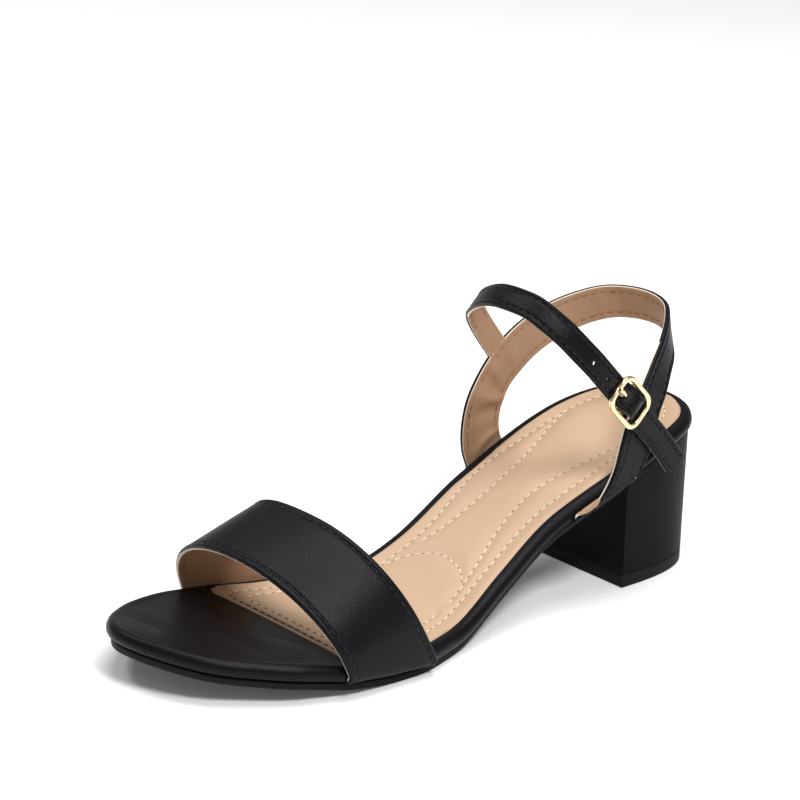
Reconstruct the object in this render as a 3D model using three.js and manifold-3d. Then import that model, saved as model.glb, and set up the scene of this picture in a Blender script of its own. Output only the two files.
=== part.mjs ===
// Block heel sandal, the left shoe of a pair, about EU 37.
// Millimetres. +X runs to the toe, +Y to the outer side of the foot, +Z up.
// The origin is the middle of the heel tip's flat face on the floor.
import * as THREE from 'three';
import { mergeVertices } from 'three/addons/utils/BufferGeometryUtils.js';
import Module from 'manifold-3d';

const wasm = await Module();
wasm.setup();

// Sole
const soleLength = 228.5; // footbed, measured level
const ballWidth = 82;
const seatWidth = 55;
const heelRise = 46.2; // sole's underside at the very back
const toeSpring = 10.4;
const outsoleThickness = 2.5;
const outsoleInset = 1.6; // how far the outsole stays inside the footbed
const footbedThickness = 5.2;
const rimWidth = 4.2; // black rim left round the insole
const insoleThickness = 0.9;
const insoleProud = 0.2; // insole's face above the rim
const insoleFront = 0.76; // share of the sole's length
const insoleCorner = 6;

// Heel
const heelDepth = 45.5; // footbed's back to the heel's breast
const heelTopInset = 1;
const heelBaseInset = 0.2; // how far the base stays inside the seat's width, each side
const heelBaseBack = 3; // how far the base stays inside the footbed's back
const heelRoundness = 2.86; // exponent of the base's rounded outline
const heelTipThickness = 4.8;

// Straps
const strapThickness = 1.8;
const ankleStrapThickness = 1.6;
const ankleStrapWidth = 9;
const tuckLength = 8; // strap end between footbed and outsole
const tuckRadius = 1.7;
const strapStandoff = 0.35; // strap's inner face off the footbed's edge
const strapStart = 0.258; // share of the sole's length where the back strap leaves the footbed
const strapRise = 50; // its top edge over the footbed there
const legLean = 0.78; // backward lean of the leg the ankle strap goes round, in radians
const crownRise = { front: 24.4, rear: 38 }; // front strap's two edges over the footbed
const crownWall = { front: -1, rear: 2.2 }; // upright stretch before each edge arches over
const crownLean = { front: 0.4, rear: 0.52 }; // forward lean of each edge
const crownFullness = { front: { lateral: 1.9, medial: 2.2 }, rear: { lateral: 2.3, medial: 2.85 } };
const crownFoot = { front: 0.781, rear: 0.627 }; // share of the sole's length
const backFoot = { lateral: [0.309, 0.2], medial: [0.303, 0.228] }; // front and rear edge

// Buckle
const barThickness = 1.6;
const buckleLength = 17.4;
const buckleCorner = 4.2;
const buckleSideGap = 0.6;
const buckleDrop = 1; // centre bar below the frame
const prongThickness = 1;
const prongArch = 0.1;
const prongHole = 4.8; // prong's hole in front of the centre bar
const tabThickness = 1.2;
const tabWidth = 8;
const tabReach = 11; // centre bar to the tab's sewn end
const tabFall = 3.1; // sewn end below the centre bar
const tabKnee = 4.8; // centre bar to the bend in the tab's outer layer
const tabLip = 0.2; // angles where the loop round the bar starts and ends
const tabWrap = 1.6 * Math.PI;
const holeDiameter = 1.8;
const holePitch = 8.4;
const freeHoles = [-2, -1, 1]; // pitches from the hole in use
const buckleAt = 0.769; // share of the ankle strap's length

const gap = 0.3;

// How finely the pieces are divided
const footbedSteps = 50;
const outsoleSteps = 44;
const insoleSteps = 38;
const heelSteps = 20;
const frontStrapSteps = 50;
const backStrapSteps = 76;
const ankleStrapSteps = 56;
const archSteps = 12;

// Outline of the footbed: shares of its length and of its width there
const outlineRows = [
  { along: 0, lateral: 0, medial: 0 },
  { along: 0.02, lateral: 0.28, medial: -0.275 },
  { along: 0.06, lateral: 0.411, medial: -0.415 },
  { along: 0.128, lateral: 0.48, medial: -0.471 },
  { along: 0.207, lateral: 0.505, medial: -0.489 },
  { along: 0.326, lateral: 0.458, medial: -0.416 },
  { along: 0.445, lateral: 0.449, medial: -0.328 },
  { along: 0.554, lateral: 0.479, medial: -0.345 },
  { along: 0.653, lateral: 0.517, medial: -0.436 },
  { along: 0.742, lateral: 0.507, medial: -0.493 },
  { along: 0.832, lateral: 0.451, medial: -0.473 },
  { along: 0.901, lateral: 0.335, medial: -0.426 },
  { along: 0.95, lateral: 0.222, medial: -0.343 },
  { along: 0.985, lateral: 0.06, medial: -0.238 },
  { along: 1, lateral: -0.12, medial: -0.12 },
];

// Height of the sole's underside: shares of the heel rise and of the toe spring
const riseRows = [
  { along: 0, heel: 1, toe: 0 },
  { along: 0.128, heel: 0.88, toe: 0 },
  { along: 0.227, heel: 0.713, toe: 0 },
  { along: 0.346, heel: 0.492, toe: 0 },
  { along: 0.465, heel: 0.191, toe: 0 },
  { along: 0.514, heel: 0.075, toe: 0 },
  { along: 0.549, heel: 0.018, toe: 0 },
  { along: 0.574, heel: 0, toe: 0 },
  { along: 0.683, heel: 0, toe: 0 },
  { along: 0.762, heel: 0, toe: 0.16 },
  { along: 0.822, heel: 0, toe: 0.38 },
  { along: 0.921, heel: 0, toe: 0.64 },
  { along: 1, heel: 0, toe: 1 },
];

// Rounded edge of the footbed: mm in from the outline, share of its thickness down
const edgeRows = [
  { inward: rimWidth, down: 0 },
  { inward: 2.1, down: 0.03 },
  { inward: 0.9, down: 0.16 },
  { inward: 0.25, down: 0.36 },
  { inward: 0, down: 0.58 },
  { inward: 0.3, down: 0.82 },
  { inward: 1.3, down: 1 },
];

// Free part of the back strap, from the outer side round the heel to the inner side.
// Front and rear edge: x as a share of the sole's length, y of the seat's width, z of the strap's rise.
const backStrapRows = [
  { fx: 0.281, fy: 0.528, fz: -0.108, rx: 0.192, ry: 0.528, rz: 0.042 },
  { fx: 0.257, fy: 0.529, fz: 0.002, rx: 0.179, ry: 0.528, rz: 0.122 },
  { fx: 0.243, fy: 0.535, fz: 0.132, rx: 0.17, ry: 0.533, rz: 0.212 },
  { fx: 0.235, fy: 0.545, fz: 0.312, rx: 0.162, ry: 0.538, rz: 0.332 },
  { fx: 0.222, fy: 0.54, fz: 0.482, rx: 0.156, ry: 0.528, rz: 0.442 },
  { fx: 0.195, fy: 0.522, fz: 0.652, rx: 0.139, ry: 0.505, rz: 0.556 },
  { fx: 0.162, fy: 0.468, fz: 0.796, rx: 0.118, ry: 0.448, rz: 0.65 },
  { fx: 0.126, fy: 0.394, fz: 0.912, rx: 0.094, ry: 0.371, rz: 0.724 },
  { fx: 0.089, fy: 0.278, fz: 0.988, rx: 0.071, ry: 0.258, rz: 0.771 },
  { fx: 0.059, fy: 0.142, fz: 1.03, rx: 0.048, ry: 0.136, rz: 0.802 },
  { fx: 0.047, fy: -0.01, fz: 1.045, rx: 0.037, ry: -0.01, rz: 0.813 },
  { fx: 0.051, fy: -0.178, fz: 1.044, rx: 0.04, ry: -0.17, rz: 0.808 },
  { fx: 0.072, fy: -0.338, fz: 1.024, rx: 0.0545, ry: -0.312, rz: 0.784 },
  { fx: 0.107, fy: -0.446, fz: 0.97, rx: 0.083, ry: -0.433, rz: 0.722 },
  { fx: 0.148, fy: -0.491, fz: 0.916, rx: 0.1265, ry: -0.487, rz: 0.645 },
  { fx: 0.196, fy: -0.509, fz: 0.832, rx: 0.1655, ry: -0.507, rz: 0.557 },
  { fx: 0.2395, fy: -0.509, fz: 0.715, rx: 0.196, ry: -0.513, rz: 0.458 },
  { fx: 0.2755, fy: -0.509, fz: 0.545, rx: 0.218, ry: -0.515, rz: 0.362 },
  { fx: 0.303, fy: -0.502, fz: 0.35, rx: 0.23, ry: -0.515, rz: 0.252 },
  { fx: 0.312, fy: -0.5, fz: 0.16, rx: 0.2345, ry: -0.515, rz: 0.162 },
  { fx: 0.31, fy: -0.496, fz: -0.008, rx: 0.233, ry: -0.515, rz: 0.072 },
];

// Middle line of the ankle strap, from inside the back strap's inner band to its free end, in the same shares
const ankleStrapRows = [
  { x: 0.2265, y: -0.509, z: 0.56 },
  { x: 0.255, y: -0.509, z: 0.715 },
  { x: 0.276, y: -0.503, z: 0.83 },
  { x: 0.294, y: -0.488, z: 0.93 },
  { x: 0.3136, y: -0.437, z: 1.03 },
  { x: 0.3315, y: -0.335, z: 1.118 },
  { x: 0.3495, y: -0.178, z: 1.21 },
  { x: 0.3605, y: -0.02, z: 1.268 },
  { x: 0.364, y: 0.14, z: 1.282 },
  { x: 0.3615, y: 0.27, z: 1.268 },
  { x: 0.355, y: 0.375, z: 1.215 },
  { x: 0.341, y: 0.465, z: 1.13 },
  { x: 0.3227, y: 0.53, z: 1.022 },
  { x: 0.3061, y: 0.567, z: 0.934 },
  { x: 0.281, y: 0.585, z: 0.81 },
  { x: 0.2505, y: 0.587, z: 0.67 },
  { x: 0.2135, y: 0.585, z: 0.502 },
  { x: 0.183, y: 0.585, z: 0.368 },
  { x: 0.155, y: 0.585, z: 0.232 },
  { x: 0.1275, y: 0.583, z: 0.085 },
];

const blackLeather = new THREE.MeshStandardMaterial({ color: 0x1c1c22, roughness: 0.5, metalness: 0 });
const tanLeather = new THREE.MeshStandardMaterial({ color: 0xcfa982, roughness: 0.7, metalness: 0 });
const blackRubber = new THREE.MeshStandardMaterial({ color: 0x141416, roughness: 0.65, metalness: 0 });
const paleGold = new THREE.MeshStandardMaterial({ color: 0xe3c596, roughness: 0.3, metalness: 1 });

// Reads one column of a table smoothly, without overshoot
function smooth(rows, key, column, at) {
  const last = rows.length - 1;
  const slope = (i) => (rows[i + 1][column] - rows[i][column]) / (rows[i + 1][key] - rows[i][key]);
  const tangent = (i) => {
    if (i === 0) return slope(0);
    if (i === last) return slope(last - 1);
    const before = slope(i - 1);
    const after = slope(i);
    return before * after <= 0 ? 0 : (2 * before * after) / (before + after);
  };
  const found = rows.findIndex((row, n) => n < last && at <= rows[n + 1][key]);
  const i = found < 0 ? last - 1 : found;
  const span = rows[i + 1][key] - rows[i][key];
  const t = THREE.MathUtils.clamp((at - rows[i][key]) / span, 0, 1);
  const rest = 1 - t;
  return (
    rows[i][column] * (1 + 2 * t) * rest * rest +
    rows[i + 1][column] * (3 - 2 * t) * t * t +
    tangent(i) * span * t * rest * rest -
    tangent(i + 1) * span * rest * t * t
  );
}

// The outline is read by turn, 0 at the heel's back to PI at the toe, so both ends come out round
const turnRows = outlineRows.map((row) => {
  const width = THREE.MathUtils.lerp(seatWidth, ballWidth, THREE.MathUtils.smoothstep(row.along, 0.2, 0.7));
  return { turn: Math.acos(1 - 2 * row.along), lateral: row.lateral * width, medial: row.medial * width };
});
const turnAt = (x) => Math.acos(THREE.MathUtils.clamp(1 - (2 * x) / soleLength, -1, 1));
const alongAt = (turn) => (soleLength * (1 - Math.cos(turn))) / 2;
const edgeY = (x, side) => smooth(turnRows, 'turn', side, turnAt(x));

// A point of the outline, moved inward along its normal
function outlinePoint(turn, side, inward) {
  const step = 0.002; // reach of the slope's two samples
  if (turn < step) return new THREE.Vector2(inward, 0);
  if (turn > Math.PI - step) return new THREE.Vector2(soleLength - inward, smooth(turnRows, 'turn', side, Math.PI));
  const a = turn - step;
  const b = turn + step;
  const dx = alongAt(b) - alongAt(a);
  const dy = smooth(turnRows, 'turn', side, b) - smooth(turnRows, 'turn', side, a);
  const hand = side === 'lateral' ? 1 : -1;
  const length = Math.hypot(dx, dy);
  return new THREE.Vector2(
    alongAt(turn) + (hand * dy * inward) / length,
    smooth(turnRows, 'turn', side, turn) - (hand * dx * inward) / length,
  );
}

// Heights of the stacked sole at a distance from the back
const soleUnder = (x) => {
  const along = THREE.MathUtils.clamp(x / soleLength, 0, 1);
  return heelRise * smooth(riseRows, 'along', 'heel', along) + toeSpring * smooth(riseRows, 'along', 'toe', along);
};
const outsoleTop = (x) => soleUnder(x) + outsoleThickness;
const bedUnder = (x) => outsoleTop(x) + gap;
const bedTop = (x) => bedUnder(x) + footbedThickness;

// A closed mesh from points and triangles, its faces turned outward
function closedGeometry(points, triangles) {
  const geometry = new THREE.BufferGeometry();
  geometry.setAttribute('position', new THREE.Float32BufferAttribute(points.flatMap((p) => [p.x, p.y, p.z]), 3));
  geometry.setIndex(triangles);
  return outward(geometry);
}

function outward(geometry) {
  const merged = mergeVertices(geometry, 1e-4);
  const position = merged.getAttribute('position');
  const corner = (n) => new THREE.Vector3().fromBufferAttribute(position, n);
  const kept = [];
  let volume = 0;
  for (let i = 0; i < merged.index.count; i += 3) {
    const [a, b, c] = [merged.index.getX(i), merged.index.getX(i + 1), merged.index.getX(i + 2)];
    if (a === b || b === c || c === a) continue;
    kept.push(a, b, c);
    volume += corner(a).dot(corner(b).cross(corner(c)));
  }
  merged.setIndex(volume < 0 ? kept.reverse() : kept);
  return merged;
}

// Plates: layers of rings from the top down, each ring a row of lateral and medial points
function plate(stations, layers, pointAt) {
  const points = [];
  const triangles = [];
  for (const layer of layers) {
    for (let k = 0; k <= stations; k++) {
      for (const side of ['lateral', 'medial']) {
        const flat = pointAt(k / stations, side, layer.inward);
        points.push(new THREE.Vector3(flat.x, flat.y, layer.height(flat.x)));
      }
    }
  }
  const ring = 2 * (stations + 1);
  const at = (layer, k, side) => layer * ring + 2 * k + side;
  const quad = (a, b, c, d) => triangles.push(a, b, c, a, c, d);
  const bottom = layers.length - 1;
  for (let k = 0; k < stations; k++) {
    quad(at(0, k, 0), at(0, k, 1), at(0, k + 1, 1), at(0, k + 1, 0));
    quad(at(bottom, k, 1), at(bottom, k, 0), at(bottom, k + 1, 0), at(bottom, k + 1, 1));
    for (let n = 0; n < bottom; n++) {
      quad(at(n, k, 0), at(n, k + 1, 0), at(n + 1, k + 1, 0), at(n + 1, k, 0));
      quad(at(n, k + 1, 1), at(n, k, 1), at(n + 1, k, 1), at(n + 1, k + 1, 1));
    }
  }
  for (let n = 0; n < bottom; n++) {
    quad(at(n, 0, 1), at(n, 0, 0), at(n + 1, 0, 0), at(n + 1, 0, 1));
    quad(at(n, stations, 0), at(n, stations, 1), at(n + 1, stations, 1), at(n + 1, stations, 0));
  }
  return closedGeometry(points, triangles);
}

function toSolid(geometry) {
  return new wasm.Manifold(
    new wasm.Mesh({
      numProp: 3,
      vertProperties: new Float32Array(geometry.getAttribute('position').array),
      triVerts: new Uint32Array(geometry.index.array),
    }),
  );
}

// Cuts can leave slivers, so only the largest body is kept
function fromSolid(solid) {
  const [largest] = solid.decompose().sort((a, b) => b.volume() - a.volume());
  const mesh = largest.getMesh();
  const geometry = new THREE.BufferGeometry();
  geometry.setAttribute('position', new THREE.BufferAttribute(new Float32Array(mesh.vertProperties), 3));
  geometry.setIndex(new THREE.BufferAttribute(new Uint32Array(mesh.triVerts), 1));
  return geometry;
}

// A three.js geometry made ready for joining and cutting
function bare(geometry) {
  geometry.deleteAttribute('normal');
  geometry.deleteAttribute('uv');
  return outward(geometry);
}

// Straps: a wall of leather, thinned towards its two long edges
const acrossShares = [0, 0.05, 0.35, 0.65, 0.95, 1];
const edgeShare = 0.5;

function strapWall(pointAt, steps, thickness, grow = 0) {
  const points = [];
  const triangles = [];
  const small = 0.002; // reach of a slope's two samples
  const last = acrossShares.length - 1;
  const row = 2 * (last + 1);
  for (let i = 0; i <= steps; i++) {
    for (let j = 0; j <= last; j++) {
      const u = i / steps;
      const v = acrossShares[j];
      const forward = pointAt(Math.min(u + small, 1), v).sub(pointAt(Math.max(u - small, 0), v)).normalize();
      const over = pointAt(u, Math.min(v + small, 1)).sub(pointAt(u, Math.max(v - small, 0))).normalize();
      const normal = forward.clone().cross(over).normalize();
      const edge = j === 0 ? -1 : j === last ? 1 : 0;
      const end = i === 0 ? -1 : i === steps ? 1 : 0;
      const here = pointAt(u, v).addScaledVector(over, edge * grow).addScaledVector(forward, end * grow);
      const half = (thickness / 2) * (edge ? edgeShare : 1) + grow;
      points.push(here.clone().addScaledVector(normal, half), here.addScaledVector(normal, -half));
    }
  }
  const quad = (a, b, c, d) => triangles.push(a, b, c, a, c, d);
  for (let i = 0; i < steps; i++) {
    const a = i * row;
    const b = a + row;
    for (let j = 0; j < last; j++) {
      quad(a + 2 * j, b + 2 * j, b + 2 * j + 2, a + 2 * j + 2);
      quad(a + 2 * j + 1, a + 2 * j + 3, b + 2 * j + 3, b + 2 * j + 1);
    }
    quad(a, a + 1, b + 1, b);
    quad(a + 2 * last + 1, a + 2 * last, b + 2 * last, b + 2 * last + 1);
  }
  const close = (a, hand) => {
    for (let j = 0; j < last; j++) {
      const [p, q, r, s] = [a + 2 * j, a + 2 * j + 2, a + 2 * j + 3, a + 2 * j + 1];
      if (hand > 0) quad(p, q, r, s);
      else quad(s, r, q, p);
    }
  };
  close(0, 1);
  close(steps * row, -1);
  return closedGeometry(points, triangles);
}

// A strap's end: under the footbed, round its lower edge and up its side, as points in the YZ plane at x
const wallOffset = strapStandoff + strapThickness / 2;
const tuckHeight = (x) => bedUnder(x) + strapThickness / 2;
function tuckPoints(x, side) {
  const hand = side === 'lateral' ? 1 : -1;
  const wall = edgeY(x, side) + hand * wallOffset;
  const level = tuckHeight(x);
  const points = [
    new THREE.Vector3(x, wall - hand * (tuckRadius + tuckLength), level),
    new THREE.Vector3(x, wall - hand * (tuckRadius + tuckLength / 2), level),
  ];
  for (const turn of [0, Math.PI / 6, Math.PI / 3, Math.PI / 2]) {
    const y = wall - hand * tuckRadius * (1 - Math.sin(turn));
    points.push(new THREE.Vector3(x, y, level + tuckRadius * (1 - Math.cos(turn))));
  }
  return points;
}

// Front strap: each edge rises up the sole's side and arches over in a plane that leans forward
function crownCurve(edge) {
  const foot = crownFoot[edge] * soleLength;
  const wallTop = bedTop(foot) + crownWall[edge];
  const height = crownRise[edge] - crownWall[edge];
  const lateral = edgeY(foot, 'lateral') + wallOffset;
  const medial = edgeY(foot, 'medial') - wallOffset;
  const arch = [];
  for (let i = 0; i <= archSteps; i++) {
    const turn = (Math.PI * i) / archSteps;
    const side = turn < Math.PI / 2 ? 'lateral' : 'medial';
    const power = 2 / crownFullness[edge][side];
    const across = Math.sign(Math.cos(turn)) * Math.abs(Math.cos(turn)) ** power;
    const y = (lateral + medial) / 2 + ((lateral - medial) / 2) * across;
    arch.push(new THREE.Vector3(foot, y, wallTop + height * Math.abs(Math.sin(turn)) ** power));
  }
  const points = [...tuckPoints(foot, 'lateral'), ...arch, ...tuckPoints(foot, 'medial').reverse()];
  const base = tuckHeight(foot);
  for (const point of points) point.x += crownLean[edge] * Math.max(point.z - base - tuckRadius, 0);
  return new THREE.CatmullRomCurve3(points, false, 'centripetal');
}
const crownFront = crownCurve('front');
const crownRear = crownCurve('rear');
const frontStrapAt = (u, v) => crownFront.getPoint(u).lerp(crownRear.getPoint(u), v);

// Back strap: from the outer side up and round behind the heel to the inner side
const strapBase = bedTop(strapStart * soleLength);
const fromShares = (x, y, z) => new THREE.Vector3(x * soleLength, y * seatWidth, strapBase + z * strapRise);
function backCurve(edge) {
  const foot = (side) => tuckPoints(backFoot[side][edge === 'f' ? 0 : 1] * soleLength, side);
  const free = backStrapRows.map((row) => fromShares(row[`${edge}x`], row[`${edge}y`], row[`${edge}z`]));
  return new THREE.CatmullRomCurve3([...foot('lateral'), ...free, ...foot('medial').reverse()], false, 'centripetal');
}
const backFront = backCurve('f');
const backRear = backCurve('r');
const backStrapAt = (u, v) => backFront.getPoint(u).lerp(backRear.getPoint(u), v);

// Ankle strap: a middle line, humped where it passes over the buckle's centre bar
const ankleLine = new THREE.CatmullRomCurve3(
  ankleStrapRows.map((row) => fromShares(row.x, row.y, row.z)),
  false,
  'centripetal',
);
const ankleLength = ankleLine.getLength();
const legAxis = new THREE.Vector3(-Math.sin(legLean), 0, Math.cos(legLean)); // the strap's width runs along it
function ankleFrame(u) {
  const along = ankleLine.getTangentAt(u);
  const up = legAxis.clone().addScaledVector(along, -legAxis.dot(along)).normalize();
  return { place: ankleLine.getPointAt(u), along, up, out: along.clone().cross(up) };
}
const barPitch = (buckleLength - barThickness) / 2;
const frameHeight = barThickness / 2 + gap + ankleStrapThickness / 2; // frame over the strap's middle
const ringRadius = barThickness / 2 + gap + tabThickness;
const humpReach = barPitch - barThickness / 2;
const humpHeight = frameHeight - buckleDrop + ringRadius + 2 * gap + ankleStrapThickness / 2;
function ankleStrapAt(u, v) {
  const { place, up, out } = ankleFrame(u);
  const distance = Math.abs((u - buckleAt) * ankleLength);
  const hump = distance < humpReach ? (humpHeight * (1 + Math.cos((Math.PI * distance) / humpReach))) / 2 : 0;
  return place.addScaledVector(out, hump).addScaledVector(up, (v - 0.5) * ankleStrapWidth);
}

// Moves geometry drawn in the buckle's own axes (x along the strap, y up its width, z outward) to its place
const buckleFrame = ankleFrame(buckleAt);
const bucklePlace = new THREE.Matrix4()
  .makeBasis(buckleFrame.along, buckleFrame.up, buckleFrame.out)
  .setPosition(buckleFrame.place.clone().addScaledVector(buckleFrame.out, frameHeight));
const atBuckle = (geometry) => toSolid(outward(bare(geometry).applyMatrix4(bucklePlace)));

function roundedRectangle(target, length, width, corner) {
  const x = length / 2;
  const y = width / 2;
  target.moveTo(x - corner, -y);
  target.absarc(x - corner, -y + corner, corner, -Math.PI / 2, 0);
  target.absarc(x - corner, y - corner, corner, 0, Math.PI / 2);
  target.absarc(-x + corner, y - corner, corner, Math.PI / 2, Math.PI);
  target.absarc(-x + corner, -y + corner, corner, Math.PI, 1.5 * Math.PI);
  target.closePath();
  return target;
}

const buckleWidth = ankleStrapWidth + 2 * (buckleSideGap + barThickness);
function buckleSolid() {
  const bevel = barThickness / 4;
  const shape = roundedRectangle(new THREE.Shape(), buckleLength - 2 * bevel, buckleWidth - 2 * bevel, buckleCorner);
  const inner = roundedRectangle(
    new THREE.Path(),
    buckleLength - 2 * barThickness + 2 * bevel,
    buckleWidth - 2 * barThickness + 2 * bevel,
    buckleCorner - barThickness + 2 * bevel,
  );
  shape.holes.push(inner);
  const rim = new THREE.ExtrudeGeometry(shape, {
    depth: barThickness - 2 * bevel,
    bevelThickness: bevel,
    bevelSize: bevel,
    bevelSegments: 2,
    curveSegments: 5,
  });
  rim.translate(0, 0, -barThickness / 2 + bevel);
  const barLength = buckleWidth - barThickness; // its ends lie inside the side bars
  const bar = new THREE.CylinderGeometry(barThickness / 2, barThickness / 2, barLength, 10);
  bar.translate(0, 0, -buckleDrop);
  return atBuckle(rim).add(atBuckle(bar));
}

// Prong: an eye round the centre bar and a tongue that rests on the front bar
function prongSolid(grow = 0) {
  const radius = prongThickness / 2 + grow;
  const eye = barThickness / 2 + gap + prongThickness / 2;
  const ring = new THREE.TorusGeometry(eye, radius, 8, 16);
  ring.rotateX(Math.PI / 2);
  ring.translate(0, 0, -buckleDrop);
  const line = new THREE.CatmullRomCurve3([
    new THREE.Vector3(0, 0, eye - buckleDrop),
    new THREE.Vector3(-barPitch / 2, 0, eye - buckleDrop / 2 + prongArch),
    new THREE.Vector3(-barPitch - barThickness / 2 - grow, 0, eye),
  ]);
  const round = new THREE.Shape();
  round.absarc(0, 0, radius, 0, 2 * Math.PI);
  const tongue = new THREE.ExtrudeGeometry(round, { extrudePath: line, steps: 6, curveSegments: 4 });
  return atBuckle(ring).add(atBuckle(tongue));
}

// Tab: a leather loop round the centre bar, its two layers sewn into the back strap's front edge
function tabSolid() {
  const inner = barThickness / 2 + gap;
  const shape = new THREE.Shape();
  shape.absarc(0, 0, ringRadius, -tabLip, tabWrap);
  shape.lineTo(tabReach, -tabFall - tabThickness);
  shape.lineTo(tabReach, -tabFall);
  shape.lineTo(tabKnee, -frameHeight - 1.3 * gap);
  shape.closePath();
  const eye = new THREE.Path();
  eye.absarc(0, 0, inner, 0, 2 * Math.PI);
  shape.holes.push(eye);
  const loop = new THREE.ExtrudeGeometry(shape, { depth: tabWidth, bevelEnabled: false, curveSegments: 16 });
  loop.translate(0, 0, -tabWidth / 2);
  loop.rotateX(Math.PI / 2);
  loop.translate(0, 0, -buckleDrop);
  const slotDepth = 4 * ringRadius;
  const slot = new THREE.BoxGeometry(slotDepth, prongThickness + 3 * gap, slotDepth);
  slot.translate(ringRadius + gap - slotDepth / 2, 0, -buckleDrop);
  return atBuckle(loop).subtract(atBuckle(slot));
}

// A punched hole through the ankle strap, some pitches from the prong's own hole
function strapHole(pitches) {
  const u = buckleAt + (pitches * holePitch - prongHole) / ankleLength;
  const { place, out } = ankleFrame(u);
  const punch = new THREE.CylinderGeometry(holeDiameter / 2, holeDiameter / 2, 8 * ankleStrapThickness, 10);
  punch.applyQuaternion(new THREE.Quaternion().setFromUnitVectors(new THREE.Vector3(0, 1, 0), out));
  punch.translate(place.x, place.y, place.z);
  return toSolid(bare(punch));
}

function ankleStrapSolid() {
  let strap = toSolid(strapWall(ankleStrapAt, ankleStrapSteps, ankleStrapThickness));
  for (const pitches of freeHoles) strap = strap.subtract(strapHole(pitches));
  return strap.subtract(prongSolid(gap));
}

// Insole: the outline inside the rim, with a straight front edge and rounded corners
function insoleGeometry(grow, height, depth) {
  const front = insoleFront * soleLength + grow;
  const back = rimWidth - grow;
  const samples = 160;
  const edges = { lateral: [], medial: [] };
  for (const side of ['lateral', 'medial']) {
    for (let i = 0; i <= samples; i++) edges[side].push(outlinePoint((Math.PI * i) / samples, side, rimWidth - grow));
  }
  const yAt = (x, side) => {
    const line = edges[side];
    const n = Math.max(line.findIndex((p) => p.x >= x), 1);
    const t = THREE.MathUtils.clamp((x - line[n - 1].x) / (line[n].x - line[n - 1].x), 0, 1);
    return THREE.MathUtils.lerp(line[n - 1].y, line[n].y, t);
  };
  const pointAt = (share, side) => {
    const x = back + ((front - back) * (1 - Math.cos(Math.PI * share))) / 2;
    const into = Math.max(x - (front - insoleCorner), 0);
    const round = insoleCorner - Math.sqrt(Math.max(insoleCorner ** 2 - into ** 2, 0));
    const hand = side === 'lateral' ? 1 : -1;
    return new THREE.Vector2(x, share === 0 ? 0 : yAt(x, side) - hand * round);
  };
  const layers = [
    { inward: 0, height: (x) => bedTop(x) + height },
    { inward: 0, height: (x) => bedTop(x) + height - depth },
  ];
  return plate(insoleSteps, layers, pointAt);
}

function outsoleGeometry() {
  const back = turnAt(heelDepth + 2 * gap);
  const pointAt = (share, side, inward) => outlinePoint(THREE.MathUtils.lerp(back, Math.PI, share), side, inward);
  const layers = [
    { inward: outsoleInset, height: outsoleTop },
    { inward: outsoleInset, height: soleUnder },
  ];
  return plate(outsoleSteps, layers, pointAt);
}

function footbedGeometry() {
  const layers = edgeRows.map((row) => ({
    inward: row.inward,
    height: (x) => bedTop(x) - row.down * footbedThickness,
  }));
  return plate(footbedSteps, layers, (share, side, inward) => outlinePoint(Math.PI * share, side, inward));
}

// Heel outlines, read by share from the back to the breast
function heelTopPoint(share, side) {
  const point = outlinePoint(turnAt(heelDepth) * share, side, heelTopInset);
  return new THREE.Vector2(Math.min(point.x, heelDepth), point.y);
}
function heelBasePoint(share, side) {
  const turn = (Math.PI / 2) * share;
  const depth = heelDepth - heelBaseBack;
  const halfWidth = seatWidth / 2 - heelBaseInset;
  const hand = side === 'lateral' ? 1 : -1;
  return new THREE.Vector2(
    heelDepth - depth * Math.cos(turn) ** (2 / heelRoundness),
    hand * halfWidth * Math.sin(turn) ** (2 / heelRoundness),
  );
}
function heelGeometry() {
  const layers = [
    { inward: 0, height: (x) => bedUnder(x) - gap },
    { inward: 1, height: () => heelTipThickness + gap },
  ];
  return plate(heelSteps, layers, (share, side, low) => (low ? heelBasePoint(share, side) : heelTopPoint(share, side)));
}
function heelTipGeometry() {
  const layers = [
    { inward: 0, height: () => heelTipThickness },
    { inward: 0, height: () => 0 },
  ];
  return plate(heelSteps, layers, heelBasePoint);
}

const frontStrapGeometry = (grow = 0) => strapWall(frontStrapAt, frontStrapSteps, strapThickness, grow);
const backStrapGeometry = (grow = 0) => strapWall(backStrapAt, backStrapSteps, strapThickness, grow);

const sandal = new THREE.Group();
function addPiece(name, geometry, material) {
  const piece = new THREE.Mesh(geometry, material);
  piece.name = name;
  sandal.add(piece);
}

const insoleRecess = insoleThickness + gap - insoleProud;
const footbed = toSolid(footbedGeometry())
  .subtract(toSolid(insoleGeometry(gap, insoleThickness, insoleThickness + insoleRecess)))
  .subtract(toSolid(frontStrapGeometry(gap)))
  .subtract(toSolid(backStrapGeometry(gap)));
const upper = toSolid(backStrapGeometry()).add(ankleStrapSolid()).add(tabSolid());

addPiece('heel_tip', heelTipGeometry(), blackRubber);
addPiece('heel', heelGeometry(), blackLeather);
addPiece('outsole', outsoleGeometry(), blackRubber);
addPiece('footbed', fromSolid(footbed), blackLeather);
addPiece('insole', insoleGeometry(0, insoleProud, insoleThickness), tanLeather);
addPiece('front_strap', frontStrapGeometry(), blackLeather);
addPiece('back_and_ankle_strap', fromSolid(upper), blackLeather);
addPiece('buckle', fromSolid(buckleSolid()), paleGold);
addPiece('buckle_prong', fromSolid(prongSolid()), paleGold);

// The origin stands in the middle of the heel tip
sandal.position.x = -(heelDepth + heelBaseBack) / 2;

export default sandal;
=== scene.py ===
# Block heel sandal, left shoe: the looks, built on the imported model
import math

import bpy
import numpy as np
from mathutils import Matrix, Vector


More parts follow.
